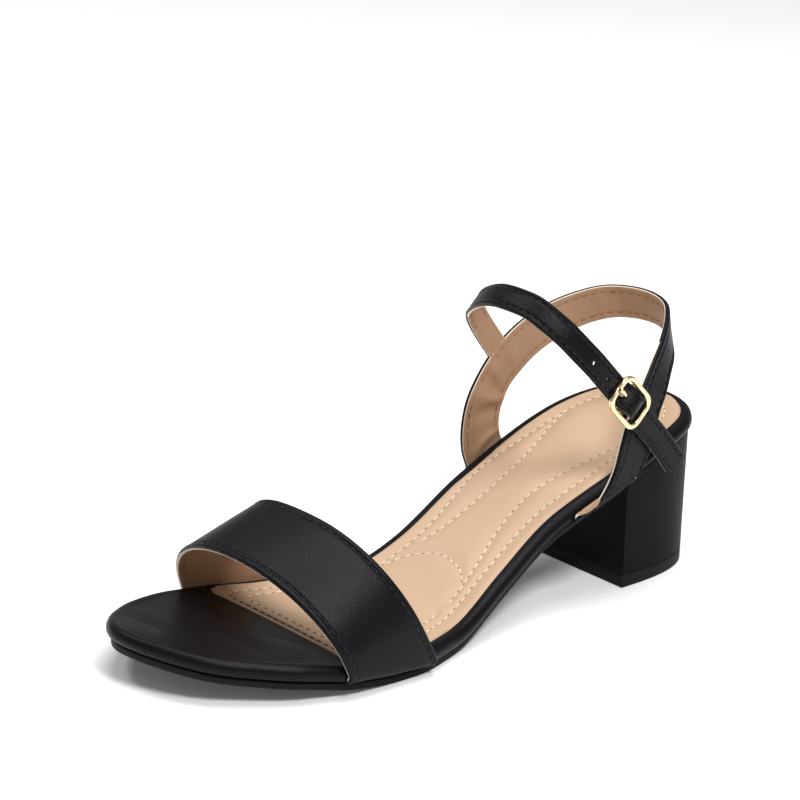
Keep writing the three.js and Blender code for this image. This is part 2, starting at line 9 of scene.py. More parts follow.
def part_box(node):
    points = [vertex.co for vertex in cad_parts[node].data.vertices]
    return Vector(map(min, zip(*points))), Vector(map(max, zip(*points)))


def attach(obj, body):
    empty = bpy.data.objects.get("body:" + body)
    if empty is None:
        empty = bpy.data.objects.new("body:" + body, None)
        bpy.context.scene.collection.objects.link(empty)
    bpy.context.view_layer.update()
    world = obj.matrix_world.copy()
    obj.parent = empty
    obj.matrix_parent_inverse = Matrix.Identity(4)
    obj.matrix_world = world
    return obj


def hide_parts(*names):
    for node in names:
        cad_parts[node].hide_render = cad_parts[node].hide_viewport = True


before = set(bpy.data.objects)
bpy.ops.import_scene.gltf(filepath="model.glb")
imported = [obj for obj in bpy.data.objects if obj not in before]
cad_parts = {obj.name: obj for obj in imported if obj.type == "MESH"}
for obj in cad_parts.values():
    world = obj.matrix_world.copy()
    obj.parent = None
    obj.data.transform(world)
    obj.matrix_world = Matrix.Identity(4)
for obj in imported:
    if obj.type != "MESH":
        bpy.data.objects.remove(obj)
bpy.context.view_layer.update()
bpy.ops.object.select_all(action="DESELECT")

mm = 0.001
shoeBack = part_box("footbed")[0].x / mm
shoeLength = (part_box("footbed")[1].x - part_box("footbed")[0].x) / mm
print("frame loaded, footbed", round(shoeLength, 1), "mm long")


# Rows of a table, each with its columns' names
def table(names, rows):
    return [dict(zip(names.split(), row)) for row in rows]


# Reads one column of a table smoothly, without overshoot
def smooth(rows, key, column, at):
    keys = np.array([row[key] for row in rows], float)
    values = np.array([row[column] for row in rows], float)
    slope = np.diff(values) / np.diff(keys)
    tangent = np.concatenate([slope[:1], np.zeros(len(rows) - 2), slope[-1:]])
    before, after = slope[:-1], slope[1:]
    together = before * after > 0
    tangent[1:-1][together] = (2 * before * after)[together] / (before + after)[together]
    at = np.asarray(at, float)
    i = np.clip(np.searchsorted(keys[1:], at, side="left"), 0, len(rows) - 2)
    span = keys[i + 1] - keys[i]
    t = np.clip((at - keys[i]) / span, 0, 1)
    rest = 1 - t
    return (
        values[i] * (1 + 2 * t) * rest * rest
        + values[i + 1] * (3 - 2 * t) * t * t
        + tangent[i] * span * t * rest * rest
        - tangent[i + 1] * span * rest * t * t
    )


def ease(at, low, high):
    t = np.clip((np.asarray(at, float) - low) / (high - low), 0, 1)
    return t * t * (3 - 2 * t)


# Sole: the same outline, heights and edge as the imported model, in millimetres from the footbed's back
sole = {
    "ballWidth": 82,
    "seatWidth": 55,
    "widening": (0.2, 0.7),  # shares of the length between the seat's width and the ball's
    "heelRise": 46.2,
    "toeSpring": 10.4,
    "outsoleThickness": 2.5,
    "outsoleInset": 1.6,
    "bedThickness": 5.2,
    "rimWidth": 4.2,
    "insoleProud": 0.45,
    "insoleFront": 0.76,
    "insoleCorner": 6,
    "heelDepth": 45.5,
    "gap": 0.3,
}
outlineRows = table(
    "along lateral medial",
    [
        (0, 0, 0),
        (0.02, 0.28, -0.275),
        (0.06, 0.411, -0.415),
        (0.128, 0.48, -0.471),
        (0.207, 0.505, -0.489),
        (0.326, 0.458, -0.416),
        (0.445, 0.449, -0.328),
        (0.554, 0.479, -0.345),
        (0.653, 0.517, -0.436),
        (0.742, 0.507, -0.493),
        (0.832, 0.451, -0.473),
        (0.901, 0.335, -0.426),
        (0.95, 0.222, -0.343),
        (0.985, 0.06, -0.238),
        (1, -0.12, -0.12),
    ],
)
riseRows = table(
    "along heel toe",
    [
        (0, 1, 0),
        (0.128, 0.88, 0),
        (0.227, 0.713, 0),
        (0.346, 0.492, 0),
        (0.465, 0.191, 0),
        (0.514, 0.075, 0),
        (0.549, 0.018, 0),
        (0.574, 0, 0),
        (0.683, 0, 0),
        (0.762, 0, 0.16),
        (0.822, 0, 0.38),
        (0.921, 0, 0.64),
        (1, 0, 1),
    ],
)
turnRows = []
for row in outlineRows:
    widened = float(ease(row["along"], *sole["widening"]))
    width = sole["seatWidth"] + (sole["ballWidth"] - sole["seatWidth"]) * widened
    turn = math.acos(1 - 2 * row["along"])
    turnRows.append({"turn": turn, "lateral": row["lateral"] * width, "medial": row["medial"] * width})
nearby = 0.002  # step to either side where a curve's direction is read


def turnAt(x):
    return np.arccos(np.clip(1 - 2 * np.asarray(x, float) / shoeLength, -1, 1))


def edgeY(x, side):
    return smooth(turnRows, "turn", side, turnAt(x))


# Points of the outline as x and y, moved inward along its normal
def outlinePoint(turn, side, inward):
    turn = np.asarray(turn, float)
    a = np.clip(turn - nearby, 0, math.pi)
    b = np.clip(turn + nearby, 0, math.pi)
    dx = shoeLength * (np.cos(a) - np.cos(b)) / 2
    dy = smooth(turnRows, "turn", side, b) - smooth(turnRows, "turn", side, a)
    hand = 1 if side == "lateral" else -1
    length = np.hypot(dx, dy)
    x = shoeLength * (1 - np.cos(turn)) / 2 + hand * dy * inward / length
    y = smooth(turnRows, "turn", side, turn) - hand * dx * inward / length
    atBack = turn < nearby
    atToe = turn > math.pi - nearby
    x = np.where(atBack, inward, np.where(atToe, shoeLength - inward, x))
    y = np.where(atBack, 0, np.where(atToe, smooth(turnRows, "turn", side, turn), y))
    return x, y


def soleUnder(x):
    along = np.clip(np.asarray(x, float) / shoeLength, 0, 1)
    heel, toe = (smooth(riseRows, "along", end, along) for end in ("heel", "toe"))
    return sole["heelRise"] * heel + sole["toeSpring"] * toe


def bedUnder(x):
    return soleUnder(x) + sole["outsoleThickness"] + sole["gap"]


def bedTop(x):
    return bedUnder(x) + sole["bedThickness"]


# A smooth curve through points, read by share from 0 to 1 with an equal share for each stretch
def curveThrough(points):
    points = np.array(points, float)
    last = len(points) - 1
    ends = [2 * points[0] - points[1], 2 * points[-1] - points[-2]]
    padded = np.vstack([ends[0], points, ends[1]])

    def at(share):
        place = np.clip(np.asarray(share, float), 0, 1) * last
        i = np.minimum(place.astype(int), last - 1)
        t = (place - i)[..., None]
        p0, p1, p2, p3 = (padded[i + n] for n in range(4))
        d0, d1, d2 = (
            np.maximum(np.sqrt(np.linalg.norm(q - p, axis=-1, keepdims=True)), 1e-3)
            for p, q in ((p0, p1), (p1, p2), (p2, p3))
        )
        m1 = ((p1 - p0) / d0 - (p2 - p0) / (d0 + d1) + (p2 - p1) / d1) * d1
        m2 = ((p2 - p1) / d1 - (p3 - p1) / (d1 + d2) + (p3 - p2) / d2) * d1
        return p1 + m1 * t + (3 * (p2 - p1) - 2 * m1 - m2) * t**2 + (2 * (p1 - p2) + m1 + m2) * t**3

    return at


# The same curve read by share of its length
def byLength(curve, samples=1200):
    shares = np.linspace(0, 1, samples)
    lengths = np.concatenate([[0], np.cumsum(np.linalg.norm(np.diff(curve(shares), axis=0), axis=1))])

    def at(share):
        return curve(np.interp(np.asarray(share, float) * lengths[-1], lengths, shares))

    return at, lengths[-1]


# Straps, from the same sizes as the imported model
straps = {
    "thickness": 1.8,
    "ankleThickness": 1.6,
    "ankleWidth": 9,
    "tuckLength": 8,
    "tuckRadius": 1.7,
    "standoff": 0.35,
    "start": 0.258,
    "rise": 50,
    "legLean": 0.78,
}
crown = {
    "front": {"rise": 24.4, "wall": -1, "lean": 0.4, "foot": 0.781, "lateral": 1.9, "medial": 2.2},
    "rear": {"rise": 38, "wall": 2.2, "lean": 0.52, "foot": 0.627, "lateral": 2.3, "medial": 2.85},
}
backFoot = {"lateral": [0.309, 0.2], "medial": [0.303, 0.228]}
backStrapRows = table(
    "fx fy fz rx ry rz",
    [
        (0.281, 0.528, -0.108, 0.192, 0.528, 0.042),
        (0.257, 0.529, 0.002, 0.179, 0.528, 0.122),
        (0.243, 0.535, 0.132, 0.17, 0.533, 0.212),
        (0.235, 0.545, 0.312, 0.162, 0.538, 0.332),
        (0.222, 0.54, 0.482, 0.156, 0.528, 0.442),
        (0.195, 0.522, 0.652, 0.139, 0.505, 0.556),
        (0.162, 0.468, 0.796, 0.118, 0.448, 0.65),
        (0.126, 0.394, 0.912, 0.094, 0.371, 0.724),
        (0.089, 0.278, 0.988, 0.071, 0.258, 0.771),
        (0.059, 0.142, 1.03, 0.048, 0.136, 0.802),
        (0.047, -0.01, 1.045, 0.037, -0.01, 0.813),
        (0.051, -0.178, 1.044, 0.04, -0.17, 0.808),
        (0.072, -0.338, 1.024, 0.0545, -0.312, 0.784),
        (0.107, -0.446, 0.97, 0.083, -0.433, 0.722),
        (0.148, -0.491, 0.916, 0.1265, -0.487, 0.645),
        (0.196, -0.509, 0.832, 0.1655, -0.507, 0.557),
        (0.2395, -0.509, 0.715, 0.196, -0.513, 0.458),
        (0.2755, -0.509, 0.545, 0.218, -0.515, 0.362),
        (0.303, -0.502, 0.35, 0.23, -0.515, 0.252),
        (0.312, -0.5, 0.16, 0.2345, -0.515, 0.162),
        (0.31, -0.496, -0.008, 0.233, -0.515, 0.072),
    ],
)
ankleStrapRows = table(
    "x y z",
    [
        (0.2265, -0.509, 0.56),
        (0.255, -0.509, 0.715),
        (0.276, -0.503, 0.83),
        (0.294, -0.488, 0.93),
        (0.3136, -0.437, 1.03),
        (0.3315, -0.335, 1.118),
        (0.3495, -0.178, 1.21),
        (0.3605, -0.02, 1.268),
        (0.364, 0.14, 1.282),
        (0.3615, 0.27, 1.268),
        (0.355, 0.375, 1.215),
        (0.341, 0.465, 1.13),
        (0.3227, 0.53, 1.022),
        (0.3061, 0.567, 0.934),
        (0.281, 0.585, 0.81),
        (0.2505, 0.587, 0.67),
        (0.2135, 0.585, 0.502),
        (0.183, 0.585, 0.368),
        (0.155, 0.585, 0.232),
        (0.1275, 0.583, 0.085),
    ],
)
buckle = {
    "bar": 1.6,
    "flatness": 1.18,  # the frame's width in the plane of the strap, as a share of its height
    "squareness": 0.6,
    "bulge": 0.015,
    "length": 17.4,
    "corner": 4.1,
    "sideGap": 0.6,
    "drop": 1,
    "prong": 1,
    "prongSection": (1.5, 1.15),
    "prongTip": 0.93,
    "tab": 1.2,
    "at": 0.769,
    "hole": 1.8,
    "holePitch": 8.4,
    "prongHole": 4.8,
    "notch": 0.3,
    "notchWidth": 1.1,
}

wallOffset = straps["standoff"] + straps["thickness"] / 2


# A strap's end: under the footbed, round its lower edge and up its side
def tuckPoints(x, side):
    hand = 1 if side == "lateral" else -1
    wall = float(edgeY(x, side)) + hand * wallOffset
    level = float(bedUnder(x)) + straps["thickness"] / 2
    radius = straps["tuckRadius"]
    points = [
        (x, wall - hand * (radius + straps["tuckLength"]), level),
        (x, wall - hand * (radius + straps["tuckLength"] / 2), level),
    ]
    for turn in (0, math.pi / 6, math.pi / 3, math.pi / 2):
        points.append((x, wall - hand * radius * (1 - math.sin(turn)), level + radius * (1 - math.cos(turn))))
    return points


def crownCurve(edge):
    look = crown[edge]
    foot = look["foot"] * shoeLength
    wallTop = float(bedTop(foot)) + look["wall"]
    height = look["rise"] - look["wall"]
    lateral = float(edgeY(foot, "lateral")) + wallOffset
    medial = float(edgeY(foot, "medial")) - wallOffset
    arch = []
    steps = 12
    for i in range(steps + 1):
        turn = math.pi * i / steps
        power = 2 / look["lateral" if turn < math.pi / 2 else "medial"]
        across = math.copysign(abs(math.cos(turn)) ** power, math.cos(turn))
        y = (lateral + medial) / 2 + (lateral - medial) / 2 * across
        arch.append((foot, y, wallTop + height * abs(math.sin(turn)) ** power))
    points = np.array(tuckPoints(foot, "lateral") + arch + tuckPoints(foot, "medial")[::-1])
    base = float(bedUnder(foot)) + straps["thickness"] / 2 + straps["tuckRadius"]
    points[:, 0] += look["lean"] * np.maximum(points[:, 2] - base, 0)
    return curveThrough(points)


strapBase = float(bedTop(straps["start"] * shoeLength))


def fromShares(x, y, z):
    return (x * shoeLength, y * sole["seatWidth"], strapBase + z * straps["rise"])


def backCurve(edge):
    n = 0 if edge == "f" else 1
    free = [fromShares(row[edge + "x"], row[edge + "y"], row[edge + "z"]) for row in backStrapRows]
    lateral = tuckPoints(backFoot["lateral"][n] * shoeLength, "lateral")
    medial = tuckPoints(backFoot["medial"][n] * shoeLength, "medial")
    return curveThrough(lateral + free + medial[::-1])


def between(first, second):
    def at(u, v):
        v = np.asarray(v, float)[..., None]
        return first(u) * (1 - v) + second(u) * v

    return at


frontStrapAt = between(crownCurve("front"), crownCurve("rear"))
backStrapAt = between(backCurve("f"), backCurve("r"))
ankleLine, ankleLength = byLength(curveThrough([fromShares(**row) for row in ankleStrapRows]))
legAxis = np.array([-math.sin(straps["legLean"]), 0, math.cos(straps["legLean"])])


def unit(vectors):
    return vectors / np.maximum(np.linalg.norm(vectors, axis=-1, keepdims=True), 1e-9)


def ankleFrame(u):
    along = unit(ankleLine(np.minimum(u + nearby, 1)) - ankleLine(np.maximum(u - nearby, 0)))
    up = unit(legAxis - along * (along @ legAxis)[..., None])
    return ankleLine(u), along, up, np.cross(along, up)


barPitch = (buckle["length"] - buckle["bar"]) / 2
frameHeight = buckle["bar"] / 2 + sole["gap"] + straps["ankleThickness"] / 2
ringRadius = buckle["bar"] / 2 + sole["gap"] + buckle["tab"]
humpReach = barPitch - buckle["bar"] / 2
humpHeight = frameHeight - buckle["drop"] + ringRadius + 2 * sole["gap"] + straps["ankleThickness"] / 2


def ankleStrapAt(u, v):
    u = np.asarray(u, float)
    place, along, up, out = ankleFrame(u)
    distance = np.abs(u - buckle["at"]) * ankleLength
    hump = np.where(distance < humpReach, humpHeight * (1 + np.cos(math.pi * distance / humpReach)) / 2, 0)
    across = (np.asarray(v, float) - 0.5) * straps["ankleWidth"]
    return place + out * hump[..., None] + up * across[..., None]


print("shapes worked out")


def toMetres(points):
    return (np.asarray(points, float) + np.array([shoeBack, 0, 0])) * mm


def activate(piece):
    bpy.ops.object.select_all(action="DESELECT")
    piece.select_set(True)
    bpy.context.view_layer.objects.active = piece


# A grid primitive laid over rows and columns of points in millimetres, closed where its edges meet
def sheetOver(name, points, materials, faceMaterial=None, sharpAngle=50):
    rows, columns = points.shape[:2]
    bpy.ops.mesh.primitive_grid_add(x_subdivisions=columns - 1, y_subdivisions=rows - 1, size=1)
    piece = bpy.context.object
    piece.name = name
    mesh = piece.data
    mesh.vertices.foreach_set("co", toMetres(points).reshape(-1))
    for material in materials:
        mesh.materials.append(material)
    if faceMaterial is not None:
        corners = np.zeros(len(mesh.polygons) * 4, int)
        mesh.polygons.foreach_get("vertices", corners)
        first = corners.reshape(-1, 4).min(1)
        kinds = np.asarray(faceMaterial)[first // columns, first % columns]
        mesh.polygons.foreach_set("material_index", kinds.astype(np.int32))
    mesh.update()
    bpy.ops.object.mode_set(mode="EDIT")
    bpy.ops.mesh.select_all(action="SELECT")
    bpy.ops.mesh.remove_doubles(threshold=0.00001)
    bpy.ops.mesh.fill_holes(sides=0)
    bpy.ops.mesh.select_all(action="SELECT")
    bpy.ops.mesh.normals_make_consistent(inside=False)
    bpy.ops.object.mode_set(mode="OBJECT")
    bpy.ops.object.shade_smooth_by_angle(angle=math.radians(sharpAngle))
    return piece


def finishPiece(piece, slot, *nodes):
    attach(piece, "root")
    if nodes:
        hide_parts(*nodes)


# Place, direction along, direction across and normal of a strap at u and v
def strapFrame(pointAt, u, v):
    along = unit(pointAt(np.minimum(u + nearby, 1), v) - pointAt(np.maximum(u - nearby, 0), v))
    over = unit(pointAt(u, np.minimum(v + nearby, 1)) - pointAt(u, np.maximum(v - nearby, 0)))
    return pointAt(u, v), along, over, unit(np.cross(along, over))


strapLook = {
    # Columns near an edge, as shares of the sewn row's distance from it
    "nearEdge": [0, 0.1, 0.22, 0.4, 0.58, 0.72, 0.82, 0.91, 1, 1.09, 1.18, 1.3, 1.5, 1.9],
    "middle": 12,  # columns between the sewn rows
    "edgeSteps": 9,
    "edgeRound": 0.75,
    "groove": 0.34,
    "grooveWidth": 0.42,
    "roll": 0.14,  # padded roll between the edge and the sewn groove
    "rollAt": 0.48,  # its middle and half width, as shares of the sewn inset
    "rollWidth": 0.3,
    "innerGroove": 0.16,
    "widePale": (-0.1, -0.95),  # round the edge: where black leather ends and the lining starts
    "thinPale": (-0.8, -1.1),
}


def grooveDepth(distance, inset):
    return np.exp(-(((distance - inset) / strapLook["grooveWidth"]) ** 2))


def sewnRelief(distance, inset):
    look = strapLook
    roll = np.exp(-(((distance - look["rollAt"] * inset) / (look["rollWidth"] * inset)) ** 2))
    return look["roll"] * roll - look["groove"] * grooveDepth(distance, inset)


# A strap with rounded edges: outer leather, the lining's pale cut edge and the lining.
# "pale" is the stretch where the cut edge shows along the first edge, "plainEnds" the sewn-in ends.
def strapPiece(name, strap):
    look, pointAt, inset, pale = strapLook, strap["at"], strap["sewn"], strap["pale"]
    half = strap["thickness"] / 2
    near = [share * inset for share in look["nearEdge"]]
    turns = np.linspace(math.pi / 2, -math.pi / 2, look["edgeSteps"] + 2)[1:-1]
    flat = [(0, d) for d in near]
    flat += [(0.5, share) for share in np.linspace(0, 1, look["middle"] + 2)[1:-1]]
    flat += [(1, d) for d in near[::-1]]
    columns = [(side, d, 1, None) for side, d in flat]
    columns += [(1, 0, 0, turn) for turn in turns]
    columns += [(side, d, -1, None) for side, d in flat[::-1]]
    columns += [(0, 0, 0, turn) for turn in turns[::-1]]
    columns.append(columns[0])
    u = np.linspace(0, 1, strap["steps"] + 1)
    points = np.zeros((len(u), len(columns), 3))
    kinds = np.zeros((len(u), len(columns)), int)
    centre = pointAt(u, np.full(len(u), 0.5))
    travelled = np.concatenate([[0], np.cumsum(np.linalg.norm(np.diff(centre, axis=0), axis=1))])
    widths = np.linalg.norm(pointAt(u, np.ones(len(u))) - pointAt(u, np.zeros(len(u))), axis=1)
    isPale = (u > pale[0]) & (u < pale[1])
    isPlain = np.minimum(u, 1 - u) < strap["plainEnds"]
    start = look["edgeRound"] + near[-1]
    for n, (side, d, face, turn) in enumerate(columns):
        if side == 0.5:
            distance = start + (widths - 2 * start) * d
        else:
            distance = look["edgeRound"] + d + np.zeros(len(u))
            distance = distance if side == 0 else widths - distance
        share = distance / widths
        fromEdge = np.minimum(distance, widths - distance)
        place, _, over, normal = strapFrame(pointAt, u, share)
        past = 0.0
        if turn is not None:
            past = math.cos(turn) * look["edgeRound"] * (1 if side == 1 else -1)
            lift = half * math.sin(turn) + np.zeros(len(u))
            black = np.where(isPale & (side == 0), look["widePale"][0], look["thinPale"][0])
            tan = np.where(isPale & (side == 0), look["widePale"][1], look["thinPale"][1])
            kinds[:, n] = np.where(isPlain | (turn > black), 0, np.where(turn > tan, 1, 2))
        elif face > 0:
            lift = half + strap["crown"] * (1 - (2 * share - 1) ** 2) + sewnRelief(fromEdge, inset)
        else:
            creased = creaseDepth(travelled, distance, strap["creases"])
            lift = look["innerGroove"] * grooveDepth(fromEdge, inset) - half - creased
            kinds[:, n] = np.where(isPlain & (side == 1), 0, 2)
        points[:, n] = place + over * past + normal * strap["outer"] * lift[:, None]
    return sheetOver(name, points, [finishes[key] for key in ("blackLeather", "cutEdge", "lining")], kinds)


# Cuts other solids out of a piece and deletes them
def cutAway(piece, cutters):
    for cutter in cutters:
        activate(piece)
        modifier = piece.modifiers.new("cut", "BOOLEAN")
        modifier.operation = "DIFFERENCE"
        modifier.object = cutter
        bpy.ops.object.modifier_apply(modifier="cut")
        bpy.data.objects.remove(cutter)


# Materials: colour, gloss, the grain's scale and bump, how much the colour varies, broad wrinkles, reflection
leathers = table(
    "name colour roughness scale bump mottle wrinkle specular",
    [
        ("blackLeather", (0.0034, 0.0033, 0.0052), 0.4, 2300, 0.9, 0.12, 0.2, 0.14),
        ("blackWrap", (0.0032, 0.003, 0.0048), 0.41, 2300, 0.5, 0.12, 1.2, 0.12),
        ("heelLeather", (0.0032, 0.003, 0.0048), 0.48, 1900, 0.22, 0.12, 0.2, 0.06),
        ("rubber", (0.0045, 0.0045, 0.005), 0.6, 2600, 0.3, 0.12, 0.2, 0.15),
        ("insoleLeather", (0.5, 0.345, 0.228), 0.5, 2100, 0.3, 0.04, 0.2, 0.3),
        ("lining", (0.38, 0.232, 0.14), 0.6, 1900, 0.35, 0.08, 0.8, 0.3),
        ("cutEdge", (0.78, 0.68, 0.56), 0.8, 3000, 0.4, 0.12, 0.2, 0.5),
        ("tanThread", (0.26, 0.15, 0.085), 0.75, 4200, 0.5, 0.2, 0, 0.5),
        ("paleThread", (0.74, 0.62, 0.46), 0.75, 4200, 0.5, 0.2, 0, 0.5),
        # The next colour is painted shade: dark brown for the shade inside the insole's needle holes, which are
        # not cut
        ("holeBrown", (0.15, 0.085, 0.048), 0.9, 4200, 0.5, 0.2, 0, 0.5),
        ("blackThread", (0.004, 0.004, 0.005), 0.6, 4200, 0.5, 0.2, 0, 0.5),
    ],
)
grainLook = {
    "smoothness": 0.6,
    "fineShare": 0.45,  # the fine noise's scale against the cells'
    "fineDetail": 4,
    "broadScale": 45,
    "broadDetail": 3,
    "depth": 0.0001,
    "glossSwing": 0.05,
}
goldLook = {"colour": (0.93, 0.72, 0.45), "gloss": (0.15, 0.29), "scale": 900, "detail": 5}


# Fine leather grain as a shader group: a height for bump and a mask for colour and gloss
def leatherGrainGroup():
    group = bpy.data.node_groups.new("leatherGrain", "ShaderNodeTree")
    for name in ("Scale", "Wrinkle"):
        group.interface.new_socket(name, in_out="INPUT", socket_type="NodeSocketFloat")
    for name in ("Height", "Mottle"):
        group.interface.new_socket(name, in_out="OUTPUT", socket_type="NodeSocketFloat")
    nodes, links = group.nodes, group.links
    inputs = nodes.new("NodeGroupInput")
    outputs = nodes.new("NodeGroupOutput")
    place = nodes.new("ShaderNodeTexCoord")
    cells = nodes.new("ShaderNodeTexVoronoi")
    cells.feature = "SMOOTH_F1"
    cells.inputs["Smoothness"].default_value = grainLook["smoothness"]
    fine = nodes.new("ShaderNodeTexNoise")
    fine.inputs["Detail"].default_value = grainLook["fineDetail"]
    broad = nodes.new("ShaderNodeTexNoise")
    broad.inputs["Scale"].default_value = grainLook["broadScale"]
    broad.inputs["Detail"].default_value = grainLook["broadDetail"]
    for texture in (cells, fine, broad):
        links.new(place.outputs["Object"], texture.inputs["Vector"])
    links.new(inputs.outputs["Scale"], cells.inputs["Scale"])
    fineScale = nodes.new("ShaderNodeMath")
    fineScale.operation = "MULTIPLY"
    fineScale.inputs[1].default_value = grainLook["fineShare"]
    links.new(inputs.outputs["Scale"], fineScale.inputs[0])
    links.new(fineScale.outputs[0], fine.inputs["Scale"])
    mixed = nodes.new("ShaderNodeMath")
    mixed.operation = "ADD"
    links.new(cells.outputs["Distance"], mixed.inputs[0])
    links.new(fine.outputs["Fac"], mixed.inputs[1])
    wrinkled = nodes.new("ShaderNodeMath")
    wrinkled.operation = "MULTIPLY_ADD"
    links.new(broad.outputs["Fac"], wrinkled.inputs[0])
    links.new(inputs.outputs["Wrinkle"], wrinkled.inputs[1])
    links.new(mixed.outputs[0], wrinkled.inputs[2])
    links.new(wrinkled.outputs[0], outputs.inputs["Height"])
    links.new(broad.outputs["Fac"], outputs.inputs["Mottle"])
    return group


grainGroup = leatherGrainGroup()


# A leather: its colour mottled a little, grain in the bump, gloss that varies
def leather(name, colour, roughness, scale, bump, mottle, wrinkle, specular):
    material = bpy.data.materials.new(name)
    material.use_nodes = True
    nodes, links = material.node_tree.nodes, material.node_tree.links
    shader = nodes["Principled BSDF"]
    shader.inputs["Specular IOR Level"].default_value = specular
    grain = nodes.new("ShaderNodeGroup")
    grain.node_tree = grainGroup
    grain.inputs["Scale"].default_value = scale
    grain.inputs["Wrinkle"].default_value = wrinkle
    mix = nodes.new("ShaderNodeMix")
    mix.data_type = "RGBA"
    mix.inputs["A"].default_value = (*[c * (1 - mottle) for c in colour], 1)
    mix.inputs["B"].default_value = (*[min(c * (1 + mottle), 1) for c in colour], 1)
    links.new(grain.outputs["Mottle"], mix.inputs["Factor"])
    links.new(mix.outputs["Result"], shader.inputs["Base Color"])
    gloss = nodes.new("ShaderNodeMapRange")
    gloss.inputs["To Min"].default_value = roughness - grainLook["glossSwing"]
    gloss.inputs["To Max"].default_value = roughness + grainLook["glossSwing"]
    links.new(grain.outputs["Mottle"], gloss.inputs["Value"])
    links.new(gloss.outputs["Result"], shader.inputs["Roughness"])
    relief = nodes.new("ShaderNodeBump")
    relief.inputs["Strength"].default_value = bump
    relief.inputs["Distance"].default_value = grainLook["depth"]
    links.new(grain.outputs["Height"], relief.inputs["Height"])
    links.new(relief.outputs["Normal"], shader.inputs["Normal"])
    return material


def metal(name, look):
    material = bpy.data.materials.new(name)
    material.use_nodes = True
    nodes, links = material.node_tree.nodes, material.node_tree.links
    shader = nodes["Principled BSDF"]
    shader.inputs["Metallic"].default_value = 1
    shader.inputs["Base Color"].default_value = (*look["colour"], 1)
    place = nodes.new("ShaderNodeTexCoord")
    noise = nodes.new("ShaderNodeTexNoise")
    noise.inputs["Scale"].default_value = look["scale"]
    noise.inputs["Detail"].default_value = look["detail"]
    links.new(place.outputs["Object"], noise.inputs["Vector"])
    gloss = nodes.new("ShaderNodeMapRange")
    gloss.inputs["To Min"].default_value, gloss.inputs["To Max"].default_value = look["gloss"]
    links.new(noise.outputs["Fac"], gloss.inputs["Value"])
    links.new(gloss.outputs["Result"], shader.inputs["Roughness"])
    return material


finishes = {look["name"]: leather(**look) for look in leathers}
finishes["gold"] = metal("gold", goldLook)
print("materials made")


# Creases: soft troughs placed on a surface, as a middle, a direction, half lengths and a depth
def creaseDepth(x, y, creases):
    depth = np.zeros(np.broadcast(x, y).shape)
    for crease in creases:
        turn = math.radians(crease["turn"])
        dx, dy = x - crease["x"], y - crease["y"]
        along = dx * math.cos(turn) + dy * math.sin(turn)
        over = -dx * math.sin(turn) + dy * math.cos(turn) + crease["bow"] * (along / crease["long"]) ** 2
        fade = np.exp(-((along / crease["long"]) ** 2) - (over / crease["wide"]) ** 2)
        depth = depth + crease["depth"] * fade
    return depth


# Footbed: top, rolled rim and underside in one closed sheet
footbedLook = {
    "stations": 260,
    "across": 56,
    "under": 8,
    "crown": 0.5,
    "crownWidth": 40,  # where the bed is at least this wide, its crown is full
    "toe": (160, 185),  # the crown and the creases set in between these
    "edgeRows": table(
        "inward down",
        [
            (4.2, 0),
            (3.2, -0.03),
            (2.2, -0.02),
            (1.4, 0.05),
            (0.75, 0.17),
            (0.3, 0.32),
            (0.05, 0.48),
            (0, 0.6),
            (0.15, 0.74),
            (0.55, 0.87),
            (1.3, 0.97),
            (2.2, 1),
        ],
    ),
    "creases": table(
        "x y turn long wide depth bow",
        [
            (196, 6, 100, 20, 3.2, 0.28, 4),
            (205, -8, 95, 24, 4, -0.25, 5),
            (188, -18, 84, 14, 2.6, 0.22, -2),
            (213, -4, 92, 16, 2.4, 0.2, 3),
            (181, 14, 112, 13, 2.6, 0.2, 1),
        ],
    ),
}


def makeFootbed():
    look = footbedLook
    turns = math.pi * np.linspace(0, 1, look["stations"] + 1)
    loops = []

    def edgePoint(side, row):
        x, y = outlinePoint(turns, side, row["inward"])
        return np.stack([x, y, bedTop(x) - row["down"] * sole["bedThickness"]], -1)

    first, last = look["edgeRows"][0], look["edgeRows"][-1]
    medialTop, lateralTop = edgePoint("medial", first), edgePoint("lateral", first)
    for share in np.linspace(0, 1, look["across"] + 1):
        points = medialTop * (1 - share) + lateralTop * share
        width = np.abs(lateralTop[:, 1] - medialTop[:, 1])
        onToe = ease(points[:, 0], *look["toe"])
        full = np.minimum(width / look["crownWidth"], 1)
        rounded = look["crown"] * (1 - (2 * share - 1) ** 2) * full * onToe
        points[:, 2] += rounded - creaseDepth(points[:, 0], points[:, 1], look["creases"]) * onToe
        loops.append(points)
    for row in look["edgeRows"][1:]:
        loops.append(edgePoint("lateral", row))
    lateralUnder, medialUnder = edgePoint("lateral", last), edgePoint("medial", last)
    for share in np.linspace(0, 1, look["under"] + 1)[1:-1]:
        loops.append(lateralUnder * (1 - share) + medialUnder * share)
    for row in look["edgeRows"][:0:-1]:
        loops.append(edgePoint("medial", row))
    loops.append(loops[0])
    piece = sheetOver("footbed_wrap", np.stack(loops, 1), [finishes["blackWrap"]])
    finishPiece(piece, "black_leather", "footbed")


makeFootbed()
print("footbed made")


# Insole: padded sheet with sewn channels and a turned edge
insoleLook = {
    "rows": 300,
    "across": 96,
    "underStride": 12,
    "sideGap": 0.1,
    "edgeDrop": 0.75,
    "edgeReach": 1.3,
    "endShare": 1.4,  # the turned edge is this much narrower at the two ends
    "sunk": 0.6,
    "pad": 0.45,
    "padReach": (0.5, 5),  # the padding swells between these distances from a sewn row
    "channelDepth": 0.42,
    "channelWidth": 1.25,
    "frontNearer": 2,
    "rowCorner": 7,
    "waistNearer": 2.8,
    "waist": (0.305, 0.075),  # its middle and half length, as shares of the sole's length
    "edgeRows": [(5.2, 0), (9.2, 0.55)],  # each row's distance from the edge and the share where it starts
}
